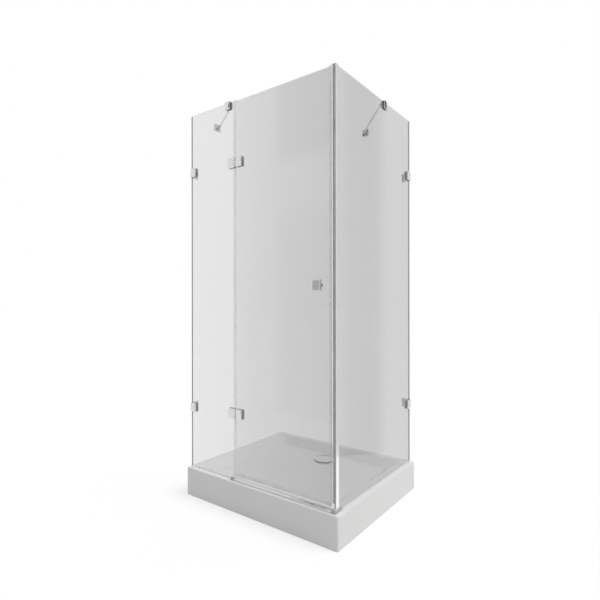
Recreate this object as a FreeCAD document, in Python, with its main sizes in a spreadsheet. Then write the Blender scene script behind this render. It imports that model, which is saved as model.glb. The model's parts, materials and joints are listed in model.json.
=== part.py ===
import FreeCAD, Part
# Corner shower enclosure: a hinged glass door, a fixed panel beside it and a side panel,
# standing on a raised tray. The tray's left edge is at one wall, its back edge at the other.
#
# Frame: +Z up, origin on the floor under the middle of the tray, +X to the right along the
# door face, -Y out through the door. All sizes are in millimetres.
import math
import os

import Sketcher
from FreeCAD import Placement, Rotation, Vector

OUTPUT_FOLDER = "parts"
NO_TURN = Rotation()

# Driving sizes. Each name becomes an alias in the document's sheet.
SIZES = {
    # Tray moulding: skirt, rim with the basin's slopes, and basin floor
    "tray_length": 1000.0,
    "tray_width": 800.0,
    "tray_height": 150.0,
    "tray_wall": 5.0,
    "tray_corner_radius": 8.0,
    "tray_edge_radius": 5.0,
    "skirt_height": 135.0,
    "rim_front": 64.0,
    "rim_right": 68.0,
    "rim_left": 45.0,
    "rim_back": 38.0,
    "basin_depth": 40.0,
    "basin_slope_run": 62.0,
    "basin_opening_radius": 30.0,
    "basin_floor_radius": 60.0,
    "basin_foot_blend": 16.0,
    "basin_floor_strip": 8.0,
    "basin_lip_blend": 5.0,
    "pipe_notch_width": 90.0,
    "pipe_notch_height": 95.0,
    # Board and feet under the tray
    "board_thickness": 12.0,
    "board_margin": 30.0,
    "board_drain_clearance": 65.0,
    "foot_inset_x": 60.0,
    "foot_inset_y": 45.0,
    "foot_pad_radius": 25.0,
    "foot_pad_height": 12.0,
    "foot_pad_edge": 4.0,
    "foot_stem_radius": 6.0,
    "foot_stem_gap": 2.0,
    "thread_clearance": 0.1,
    "socket_radius": 14.0,
    "socket_length": 33.0,
    "socket_flange_radius": 22.0,
    "socket_flange_thickness": 4.0,
    "lock_nut_radius": 11.0,
    "lock_nut_height": 8.0,
    # Waste
    "drain_back_distance": 180.0,
    "drain_hole_radius": 45.0,
    "drain_flange_radius": 55.0,
    "drain_flange_thickness": 3.0,
    "drain_flange_bevel": 1.5,
    "drain_neck_length": 32.0,
    "drain_neck_clearance": 0.4,
    "drain_neck_wall": 6.5,
    "waste_gasket": 2.0,
    "trap_wall": 6.0,
    "trap_floor_height": 17.0,
    "trap_floor_wall": 3.0,
    "trap_flange_radius": 57.0,
    "trap_flange_thickness": 4.0,
    "outlet_height": 50.0,
    "outlet_pipe_radius": 20.0,
    "outlet_pipe_clearance": 0.3,
    "outlet_wall": 4.5,
    "outlet_reach": 118.0,
    "outlet_socket_depth": 45.0,
    "outlet_passage_radius": 17.0,
    "outlet_nut_radius": 31.0,
    "outlet_nut_length": 22.0,
    "outlet_ring_length": 5.0,
    "cup_wall": 2.0,
    "cup_clearance": 1.0,
    "cup_lip": 4.0,
    "cup_lip_thickness": 2.0,
    "cup_bottom_height": 35.0,
    "cover_radius": 62.5,
    "cover_height": 12.0,
    "cover_gap": 5.0,
    "cover_wall": 3.0,
    "cover_skirt": 3.0,
    "cover_shoulder": 6.0,
    "cover_crown": 1.5,
    "cover_leg_width": 5.0,
    "seat_clearance": 0.1,
    # Glass
    "glass_thickness": 8.0,
    "glass_height": 1950.0,
    "glass_arris": 0.8,
    "front_setback": 30.0,
    "side_setback": 30.0,
    "wall_gap": 8.0,
    "fixed_width": 344.0,
    "seam_gap": 10.0,
    "corner_gap": 16.0,
    "side_front_gap": 12.0,
    "door_top_drop": 4.0,
    "glass_hole_radius": 7.0,
    # Clamping stack shared by hinges and wall clamps
    "gasket_thickness": 1.0,
    "outer_plate": 8.0,
    "back_plate": 6.0,
    "screw_radius": 3.0,
    "screw_head_radius": 6.0,
    "screw_head_depth": 3.0,
    "screw_engagement": 4.0,
    "screw_clearance": 0.1,
    "bush_clearance": 0.2,
    "bush_bore_clearance": 0.3,
    "plate_chamfer": 1.0,
    "back_chamfer": 0.5,
    # Hinges
    "fitting_lower_height": 341.0,
    "fitting_upper_drop": 319.0,
    "hinge_height": 50.0,
    "leaf_width": 45.0,
    "leaf_gap": 3.5,
    "axis_proud": 1.0,
    "knuckle_radius": 5.5,
    "knuckle_clearance": 0.6,
    "knuckle_end_length": 16.0,
    "pin_radius": 3.0,
    "pin_clearance": 0.05,
    "washer_thickness": 1.0,
    "back_plate_gap": 7.0,
    "hinge_screw_inset": 27.0,
    "hinge_screw_spacing": 28.0,
    # Wall clamps
    "clamp_lower_height": 330.0,
    "clamp_width": 48.0,
    "clamp_plate_start": 10.0,
    "clamp_height": 48.0,
    "clamp_leg": 40.0,
    "clamp_glass_clearance": 1.0,
    "clamp_screw_inset": 30.0,
    "wall_screw_radius": 2.75,
    "wall_screw_spacing": 28.0,
    "wall_screw_reach": 25.0,
    # Stabiliser bars
    "saddle_left_inset": 303.0,
    "saddle_right_inset": 307.0,
    "flange_left_offset": 215.0,
    "flange_right_offset": 315.0,
    "saddle_length": 36.0,
    "saddle_cheek": 6.0,
    "saddle_depth": 36.0,
    "saddle_bridge": 4.0,
    "saddle_pad": 1.0,
    "grub_radius": 3.0,
    "grub_drop": 26.0,
    "bar_drop": 5.0,
    "bar_radius": 5.0,
    "bar_clearance": 0.1,
    "lug_thickness": 5.0,
    "lug_radius": 6.5,
    "lug_reach": 11.0,
    "lug_clearance": 0.3,
    "end_radius": 7.0,
    "end_back": 6.0,
    "end_slot": 9.0,
    "end_socket_start": 13.0,
    "end_length": 26.0,
    "pivot_radius": 2.5,
    "pivot_clearance": 0.1,
    "pivot_recess": 0.5,
    "flange_size": 40.0,
    "flange_thickness": 14.0,
    "flange_screw_spacing": 26.0,
    "flange_screw_radius": 2.25,
    # Knob
    "knob_size": 48.0,
    "knob_plate": 10.0,
    "knob_reach": 24.0,
    "knob_stem_radius": 9.0,
    "knob_edge_distance": 67.0,
    "knob_height": 990.0,
    "knob_washer": 1.0,
    "knob_washer_radius": 12.0,
    "knob_chamfer": 1.5,
    "knob_thread_depth": 10.0,
    "knob_cap_radius": 11.0,
    "knob_cap_height": 9.0,
    "knob_cap_blend": 2.0,
    # Seals and strips
    "seal_wall": 1.0,
    "seal_leg": 10.0,
    "seal_touch_gap": 0.4,
    "seal_end_gap": 1.0,
    "seal_top_rise": 3.0,
    "magnet_size": 5.0,
    "magnet_clearance": 0.1,
    "side_seal_wall": 2.0,
    "magnet_gap": 0.5,
    "strike_lip": 1.5,
    "strike_reach": 9.0,
    "sweep_leg": 15.0,
    "sweep_lip": 6.0,
    "sweep_gap": 1.0,
    "sweep_glass_seat": 1.5,
    "threshold_height": 14.0,
    "threshold_front": 12.0,
    "threshold_depth": 26.0,
    "threshold_slope": 5.0,
    "threshold_back_height": 5.0,
    "threshold_bevel": 7.0,
    "cap_length": 20.0,
    "cap_wall": 3.5,
    "cap_side_reach": 56.0,
    "cap_gap": 0.3,
}


class Size:
    """A size of the object: the sheet formula that drives it and its value now."""

    def __init__(self, formula, value):
        self.formula = formula
        self.value = value

    def __add__(self, other):
        return combine(self, "+", other)

    def __radd__(self, other):
        return combine(other, "+", self)

    def __sub__(self, other):
        return combine(self, "-", other)

    def __rsub__(self, other):
        return combine(other, "-", self)

    def __mul__(self, other):
        return combine(self, "*", other)

    def __rmul__(self, other):
        return combine(other, "*", self)

    def __truediv__(self, other):
        return combine(self, "/", other)

    def __neg__(self):
        return combine(0.0, "-", self)


def as_size(item):
    """Return a plain number as a Size, and a Size as it is."""
    if isinstance(item, Size):
        return item
    return Size(repr(float(item)), float(item))


def combine(left, sign, right):
    """Return the Size that an arithmetic sign makes of two sizes."""
    left = as_size(left)
    right = as_size(right)
    value = {
        "+": lambda: left.value + right.value,
        "-": lambda: left.value - right.value,
        "*": lambda: left.value * right.value,
        "/": lambda: left.value / right.value,
    }[sign]()
    return Size("(%s %s %s)" % (left.formula, sign, right.formula), value)


def distance(run, rise):
    """Return the length of the line with this run and rise."""
    return Size("sqrt(%s ^ 2 + %s ^ 2)" % (run.formula, rise.formula),
                math.hypot(run.value, rise.value))


def heading(run, rise):
    """Return the angle of the line with this run and rise, in degrees from +X."""
    return Size("atan2(%s; %s)" % (rise.formula, run.formula),
                math.degrees(math.atan2(rise.value, run.value)))


doc = FreeCAD.newDocument("shower_enclosure")
sheet = doc.addObject("Spreadsheet::Sheet", "sizes")


class Namespace:
    """The driving sizes, read as attributes."""


s = Namespace()
for row, (alias, number) in enumerate(SIZES.items(), start=1):
    sheet.set("A%d" % row, alias.replace("_", " "))
    sheet.set("B%d" % row, str(number))
    sheet.setAlias("B%d" % row, alias)
    setattr(s, alias, Size("sizes." + alias, number))
doc.recompute()

pieces = []


# ---------------------------------------------------------------- drawing helpers

def bind(item, name, size):
    """Drive one property of an object from the sheet."""
    item.setExpression(name, as_size(size).formula)


def place(item, x=0.0, y=0.0, z=0.0, turn=NO_TURN):
    """Place an object at driven coordinates, with a fixed turn."""
    base = [as_size(size) for size in (x, y, z)]
    item.Placement = Placement(Vector(*[size.value for size in base]), turn)
    for axis, size in zip("xyz", base):
        bind(item, "Placement.Base." + axis, size)
    return item


def turn_about_z(item, angle):
    """Turn an object that has been placed by a driven angle about the vertical."""
    item.Placement = Placement(item.Placement.Base, Rotation(Vector(0, 0, 1), angle.value))
    bind(item, "Placement.Rotation.Angle", angle)
    return item


def publish(label, item):
    """Give a finished sub-part its name and list it for writing."""
    item.Label = label
    pieces.append(item)
    return item


def box(x, y, z):
    """Return a block between (low, high) pairs along each axis."""
    item = doc.addObject("Part::Box", "block")
    for name, (low, high) in zip(("Length", "Width", "Height"), (x, y, z)):
        bind(item, name, as_size(high) - low)
    return place(item, x[0], y[0], z[0])


AXIS_TURN = {
    "x": Rotation(Vector(0, 0, 1), Vector(1, 0, 0)),
    "y": Rotation(Vector(0, 0, 1), Vector(0, 1, 0)),
    "z": NO_TURN,
}


def axis_point(axis, centre, along):
    """Return the coordinates of a point on a line along an axis."""
    point = list(centre)
    point.insert("xyz".index(axis), along)
    return point


def rod(radius, axis, centre, span):
    """Return a round bar along an axis, through a centre, over a (low, high) span."""
    item = doc.addObject("Part::Cylinder", "rod")
    bind(item, "Radius", radius)
    bind(item, "Height", as_size(span[1]) - span[0])
    return place(item, *axis_point(axis, centre, span[0]), turn=AXIS_TURN[axis])


def cone(low_radius, high_radius, axis, centre, span):
    """Return a cone along an axis, from its radius at the low end to the high end."""
    item = doc.addObject("Part::Cone", "cone")
    bind(item, "Radius1", low_radius)
    bind(item, "Radius2", high_radius)
    bind(item, "Height", as_size(span[1]) - span[0])
    return place(item, *axis_point(axis, centre, span[0]), turn=AXIS_TURN[axis])


def fuse(members):
    """Return the union of several solids."""
    item = doc.addObject("Part::MultiFuse", "union")
    item.Shapes = members
    item.Refine = True
    return item


def cut(base, tools):
    """Return a solid with one or more tools taken away."""
    item = doc.addObject("Part::Cut", "cut")
    item.Base = base
    item.Tool = tools[0] if len(tools) == 1 else group(tools)
    return item


def group(members):
    """Return several solids kept apart as one object."""
    item = doc.addObject("Part::Compound", "group")
    item.Links = members
    return item


def bevelled_block(x, y, z, bevel, at_high_end=False):
    """Return a block with a bevel round its face at the low or the high end of y."""
    small = (grown(x, -bevel), grown(z, -bevel))
    full = (x, z)
    if at_high_end:
        span = (y[1] - bevel, y[1])
        rest = (y[0], y[1] - bevel)
        near, far = full, small
    else:
        span = (y[0], y[0] + bevel)
        rest = (y[0] + bevel, y[1])
        near, far = small, full
    item = doc.addObject("Part::Wedge", "bevel")
    limits = {
        "Xmin": near[0][0], "Xmax": near[0][1], "Zmin": near[1][0], "Zmax": near[1][1],
        "X2min": far[0][0], "X2max": far[0][1], "Z2min": far[1][0], "Z2max": far[1][1],
        "Ymin": span[0], "Ymax": span[1],
    }
    for name, size in limits.items():
        bind(item, name, size)
    return fuse([box(x, rest, z), item])


def grown(span, size):
    """Return a (low, high) pair widened by a size at both ends."""
    return (span[0] - size, span[1] + size)


def edge_lies_at(axis, value):
    """Return a test for edges whose every point has this coordinate."""
    def test(edge):
        return all(abs(getattr(vertex.Point, axis) - value) < 1e-4 for vertex in edge.Vertexes)
    return test


# ---------------------------------------------------------------- body helpers

def new_body():
    """Return an empty body that may hold several solids."""
    body = doc.addObject("PartDesign::Body", "Body")
    body.AllowCompound = True
    return body


def new_sketch(body, plane, offset=0.0):
    """Return a sketch on one of the body's own origin planes, lifted off it by an offset."""
    sketch = body.newObject("Sketcher::SketchObject", "Sketch")
    for feature in body.Origin.OriginFeatures:
        if feature.Role == plane:
            sketch.AttachmentSupport = [(feature, "")]
    sketch.MapMode = "FlatFace"
    offset = as_size(offset)
    sketch.AttachmentOffset = Placement(Vector(0, 0, offset.value), NO_TURN)
    bind(sketch, "AttachmentOffset.Base.z", offset)
    return sketch


def constrain(sketch, size, kind, *where):
    """Add one driven constraint to a sketch."""
    index = sketch.addConstraint(Sketcher.Constraint(kind, *where, size.value))
    sketch.setExpression("Constraints[%d]" % index, size.formula)


def polygon(sketch, points):
    """Draw a closed outline through driven corner points."""
    points = [(as_size(x), as_size(y)) for x, y in points]
    corners = [Vector(x.value, y.value, 0) for x, y in points]
    count = len(corners)
    lines = [sketch.addGeometry(Part.LineSegment(corners[i], corners[(i + 1) % count]))
             for i in range(count)]
    for i, line in enumerate(lines):
        sketch.addConstraint(Sketcher.Constraint("Coincident", line, 2, lines[(i + 1) % count], 1))
    for line, (x, y) in zip(lines, points):
        constrain(sketch, x, "DistanceX", line, 1)
        constrain(sketch, y, "DistanceY", line, 1)


def rectangle(sketch, x, y):
    """Draw a rectangle between (low, high) pairs."""
    polygon(sketch, [(x[0], y[0]), (x[1], y[0]), (x[1], y[1]), (x[0], y[1])])


def circle(sketch, x, y, radius):
    """Draw a circle."""
    x, y, radius = as_size(x), as_size(y), as_size(radius)
    number = sketch.addGeometry(
        Part.Circle(Vector(x.value, y.value, 0), Vector(0, 0, 1), radius.value))
    constrain(sketch, x, "DistanceX", number, 3)
    constrain(sketch, y, "DistanceY", number, 3)
    constrain(sketch, radius, "Radius", number)


def rounded_rectangle(sketch, x, y, radius):
    """Draw a rectangle with rounded corners between (low, high) pairs."""
    x0, x1 = (as_size(size).value for size in x)
    y0, y1 = (as_size(size).value for size in y)
    r = radius.value
    # Each corner: its arc's centre, where its arc starts, and the end of the side after it.
    corners = [
        (Vector(x0 + r, y0 + r, 0), math.pi, Vector(x1 - r, y0, 0)),
        (Vector(x1 - r, y0 + r, 0), 1.5 * math.pi, Vector(x1, y1 - r, 0)),
        (Vector(x1 - r, y1 - r, 0), 0.0, Vector(x0 + r, y1, 0)),
        (Vector(x0 + r, y1 - r, 0), 0.5 * math.pi, Vector(x0, y0 + r, 0)),
    ]
    arcs = []
    lines = []
    for centre, start, side_end in corners:
        round_corner = Part.Circle(centre, Vector(0, 0, 1), r)
        arc = Part.ArcOfCircle(round_corner, start, start + 0.5 * math.pi)
        arcs.append(sketch.addGeometry(arc))
        lines.append(sketch.addGeometry(Part.LineSegment(arc.EndPoint, side_end)))
    for i in range(4):
        after = arcs[(i + 1) % 4]
        sketch.addConstraint(Sketcher.Constraint("Tangent", arcs[i], 2, lines[i], 1))
        sketch.addConstraint(Sketcher.Constraint("Tangent", lines[i], 2, after, 1))
        direction = "Horizontal" if i % 2 == 0 else "Vertical"
        sketch.addConstraint(Sketcher.Constraint(direction, lines[i]))
    for arc in arcs[1:]:
        sketch.addConstraint(Sketcher.Constraint("Equal", arcs[0], arc))
    constrain(sketch, radius, "Radius", arcs[0])
    constrain(sketch, x[0] + radius, "DistanceX", arcs[0], 3)
    constrain(sketch, y[0] + radius, "DistanceY", arcs[0], 3)
    constrain(sketch, x[1] - radius, "DistanceX", arcs[2], 3)
    constrain(sketch, y[1] - radius, "DistanceY", arcs[2], 3)


def pad(body, sketch, length, symmetric=False):
    """Grow a sketch into the body, along its normal or to both sides."""
    feature = body.newObject("PartDesign::Pad", "Pad")
    feature.Profile = sketch
    feature.SideType = "Symmetric" if symmetric else "One side"
    bind(feature, "Length", length)
    body.Tip = feature
    return feature


def check_less(body, before):
    """Stop if a cut has taken nothing away."""
    doc.recompute()
    if not body.Shape.Volume < before - 1e-6:
        raise RuntimeError("a cut in %s takes nothing away" % body.Name)


def pocket(body, sketch, length=None, reverse=False):
    """Cut a sketch out of the body, to a depth or right through both ways."""
    doc.recompute()
    before = body.Shape.Volume
    feature = body.newObject("PartDesign::Pocket", "Pocket")
    feature.Profile = sketch
    if length is None:
        feature.SideType = "Symmetric"
        feature.Type = "ThroughAll"
    else:
        feature.SideType = "One side"
        feature.Reversed = reverse
        bind(feature, "Length", length)
    body.Tip = feature
    check_less(body, before)
    return feature


def loft(body, kind, lower, upper):
    """Join two sketches with straight sides, as an added or a subtracted form."""
    feature = body.newObject("PartDesign::%sLoft" % kind, kind + "Loft")
    feature.Profile = lower
    feature.Sections = [upper]
    feature.Ruled = True
    body.Tip = feature
    doc.recompute()
    return feature


def revolve(body, sketch):
    """Spin a sketch drawn on the XZ plane a full turn about the vertical."""
    feature = body.newObject("PartDesign::Revolution", "Revolution")
    feature.Profile = sketch
    feature.ReferenceAxis = (sketch, ["V_Axis"])
    feature.Angle = 360.0
    body.Tip = feature
    return feature


def turned_body(points):
    """Return a body turned from an outline of (radius, height) points."""
    body = new_body()
    sketch = new_sketch(body, "XZ_Plane")
    polygon(sketch, points)
    revolve(body, sketch)
    return body


def dress(body, kind, size, test):
    """Add a fillet or chamfer to the edges of the body that pass a test."""
    doc.recompute()
    tip = body.Tip
    names = ["Edge%d" % number for number, edge in enumerate(tip.Shape.Edges, start=1) if test(edge)]
    feature = body.newObject("PartDesign::" + kind, kind)
    feature.Base = (tip, names)
    bind(feature, "Radius" if kind == "Fillet" else "Size", size)
    body.Tip = feature
    return feature


# ---------------------------------------------------------------- places worked out once

left_wall = -s.tray_length / 2
right_edge = s.tray_length / 2
front_edge = -s.tray_width / 2
back_wall = s.tray_width / 2

front_plane = front_edge + s.front_setback
side_plane = right_edge - s.side_setback
half_glass = s.glass_thickness / 2
glass_top = s.tray_height + s.glass_height

fixed_left = left_wall + s.wall_gap
fixed_right = fixed_left + s.fixed_width
door_left = fixed_right + s.seam_gap
door_right = side_plane - half_glass - s.corner_gap
hinge_x = fixed_right + s.seam_gap / 2
hinge_y = front_plane - half_glass - s.gasket_thickness - s.outer_plate - s.axis_proud
side_front = front_plane - half_glass + s.side_front_gap
side_back = back_wall - s.wall_gap

hinge_heights = (s.tray_height + s.fitting_lower_height, glass_top - s.fitting_upper_drop)
clamp_heights = (s.tray_height + s.clamp_lower_height, glass_top - s.fitting_upper_drop)

threshold_top = s.tray_height + s.threshold_height
sweep_bottom = threshold_top + s.sweep_gap
door_bottom = sweep_bottom + s.sweep_lip + s.sweep_glass_seat
door_top = glass_top - s.door_top_drop

basin_x = (left_wall + s.rim_left, right_edge - s.rim_right)
basin_y = (front_edge + s.rim_front, back_wall - s.rim_back)
floor_x = (basin_x[0] + s.basin_slope_run, basin_x[1] - s.basin_slope_run)
floor_y = (basin_y[0] + s.basin_slope_run, basin_y[1] - s.basin_slope_run)
floor_top = s.tray_height - s.basin_depth
floor_underside = floor_top - s.tray_wall
drain_y = back_wall - s.drain_back_distance
board_underside = floor_underside - s.board_thickness

HALF_TURN_ABOUT_X = Rotation(Vector(1, 0, 0), 180)
# Turns a fitting drawn for the left wall and the front glass to the back wall and side glass.
SIDE_TURN = Rotation(Vector(0, 0, 1), -90).multiply(HALF_TURN_ABOUT_X)


# ---------------------------------------------------------------- tray

# The tray is one moulding, kept as three solids that meet face to face: the skirt, the rim
# with the basin's slopes, and the basin's floor.

def make_tray_skirt():
    """Build the upright skirt, with a notch at the back for the waste pipe."""
    body = new_body()
    outline_x = (left_wall, right_edge)
    outline_y = (front_edge, back_wall)
    sketch = new_sketch(body, "XY_Plane")
    rounded_rectangle(sketch, outline_x, outline_y, s.tray_corner_radius)
    pad(body, sketch, s.skirt_height)
    hollow = new_sketch(body, "XY_Plane")
    rounded_rectangle(hollow, grown(outline_x, -s.tray_wall), grown(outline_y, -s.tray_wall),
                      s.tray_corner_radius - s.tray_wall)
    pocket(body, hollow, s.skirt_height, reverse=True)
    notch = new_sketch(body, "XZ_Plane", -back_wall)
    rectangle(notch, (-s.pipe_notch_width / 2, s.pipe_notch_width / 2),
              (0.0, s.pipe_notch_height))
    pocket(body, notch, s.tray_wall, reverse=True)
    publish("tray_skirt", body)


def floor_panel_outline():
    """Return the outline of the basin floor's flat panel and its corner radius."""
    strip = s.basin_floor_strip
    return grown(floor_x, -strip), grown(floor_y, -strip), s.basin_floor_radius - strip


def make_tray_rim():
    """Build the rim and the basin's slopes down to the floor panel, in one even wall."""
    body = new_body()
    outline_x = (left_wall, right_edge)
    outline_y = (front_edge, back_wall)
    rim_depth = s.tray_height - s.skirt_height
    sketch = new_sketch(body, "XY_Plane", s.skirt_height)
    rounded_rectangle(sketch, outline_x, outline_y, s.tray_corner_radius)
    pad(body, sketch, rim_depth)
    top = s.tray_height.value
    dress(body, "Fillet", s.tray_edge_radius, edge_lies_at("z", top))

    hollow = new_sketch(body, "XY_Plane", s.skirt_height)
    rounded_rectangle(hollow, grown(outline_x, -s.tray_wall), grown(outline_y, -s.tray_wall),
                      s.tray_corner_radius - s.tray_wall)
    pocket(body, hollow, rim_depth - s.tray_wall, reverse=True)

    under_floor = new_sketch(body, "XY_Plane", floor_underside)
    rounded_rectangle(under_floor, grown(floor_x, s.tray_wall), grown(floor_y, s.tray_wall),
                      s.basin_floor_radius + s.tray_wall)
    under_rim = new_sketch(body, "XY_Plane", s.tray_height - s.tray_wall / 2)
    rounded_rectangle(under_rim, grown(basin_x, s.tray_wall), grown(basin_y, s.tray_wall),
                      s.basin_opening_radius + s.tray_wall)
    loft(body, "Additive", under_floor, under_rim)

    inner_floor = new_sketch(body, "XY_Plane", floor_top)
    rounded_rectangle(inner_floor, floor_x, floor_y, s.basin_floor_radius)
    inner_rim = new_sketch(body, "XY_Plane", s.tray_height)
    rounded_rectangle(inner_rim, basin_x, basin_y, s.basin_opening_radius)
    before = body.Shape.Volume
    loft(body, "Subtractive", inner_floor, inner_rim)
    check_less(body, before)

    def lies_within(edge, span):
        limits = edge.BoundBox
        return limits.XMin > span[0].value - 1 and limits.XMax < span[1].value + 1

    on_floor = edge_lies_at("z", floor_top.value)
    on_top = edge_lies_at("z", top)
    dress(body, "Fillet", s.basin_foot_blend,
          lambda edge: on_floor(edge) and lies_within(edge, floor_x))
    dress(body, "Fillet", s.basin_lip_blend,
          lambda edge: on_top(edge) and lies_within(edge, basin_x))

    panel = new_sketch(body, "XY_Plane", floor_top)
    rounded_rectangle(panel, *floor_panel_outline())
    pocket(body, panel, s.tray_wall)
    publish("tray_rim", body)


def make_tray_floor():
    """Build the flat panel of the basin's floor, with the drain hole."""
    body = new_body()
    sketch = new_sketch(body, "XY_Plane", floor_underside)
    rounded_rectangle(sketch, *floor_panel_outline())
    pad(body, sketch, s.tray_wall)
    drain = new_sketch(body, "XY_Plane", floor_top)
    circle(drain, 0.0, drain_y, s.drain_hole_radius)
    pocket(body, drain, s.tray_wall)
    publish("tray_floor", body)


def make_tray_board():
    """Build the reinforcement board bonded under the basin floor, open round the waste."""
    body = new_body()
    sketch = new_sketch(body, "XY_Plane", board_underside)
    rectangle(sketch, grown(floor_x, -s.board_margin), grown(floor_y, -s.board_margin))
    pad(body, sketch, s.board_thickness)
    hole = new_sketch(body, "XY_Plane", board_underside)
    circle(hole, 0.0, drain_y, s.board_drain_clearance)
    pocket(body, hole)
    publish("tray_board", body)


def foot_sites():
    """Return the name and place of each levelling foot."""
    board_x = grown(floor_x, -s.board_margin)
    board_y = grown(floor_y, -s.board_margin)
    left = board_x[0] + s.foot_inset_x
    right = board_x[1] - s.foot_inset_x
    front = board_y[0] + s.foot_inset_y
    back = board_y[1] - s.foot_inset_y
    middle = ((left + right) / 2, (front + back) / 2)
    return {
        "front_left": (left, front),
        "front_right": (right, front),
        "back_left": (left, back),
        "back_right": (right, back),
        "middle": middle,
    }


def make_feet():
    """Build the levelling feet, their sockets under the board and their lock nuts."""
    pad_radius = s.foot_pad_radius
    stem = s.foot_stem_radius
    stem_top = board_underside - s.foot_stem_gap
    bore = stem + s.thread_clearance
    socket_bottom = board_underside - s.socket_length
    nut_top = socket_bottom - s.seat_clearance
    sockets = []
    nuts = []
    for name, (x, y) in foot_sites().items():
        foot = turned_body([
            (0.0, 0.0), (pad_radius, 0.0), (pad_radius, s.foot_pad_edge),
            (stem + s.foot_pad_edge, s.foot_pad_height), (stem, s.foot_pad_height),
            (stem, stem_top), (0.0, stem_top)])
        place(foot, x, y)
        publish("tray_foot_" + name, foot)

        socket = cut(
            fuse([
                rod(s.socket_radius, "z", (x, y), (socket_bottom, board_underside)),
                rod(s.socket_flange_radius, "z", (x, y),
                    (board_underside - s.socket_flange_thickness, board_underside)),
            ]),
            [rod(bore, "z", (x, y), (socket_bottom, board_underside))])
        sockets.append(socket)

        hexagon = doc.addObject("Part::Prism", "hexagon")
        hexagon.Polygon = 6
        bind(hexagon, "Circumradius", s.lock_nut_radius)
        bind(hexagon, "Height", s.lock_nut_height)
        place(hexagon, x, y, nut_top - s.lock_nut_height)
        nuts.append(cut(hexagon, [rod(bore, "z", (x, y), (nut_top - s.lock_nut_height, nut_top))]))
    publish("foot_sockets", group(sockets))
    publish("foot_lock_nuts", group(nuts))


# ---------------------------------------------------------------- waste

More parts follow.
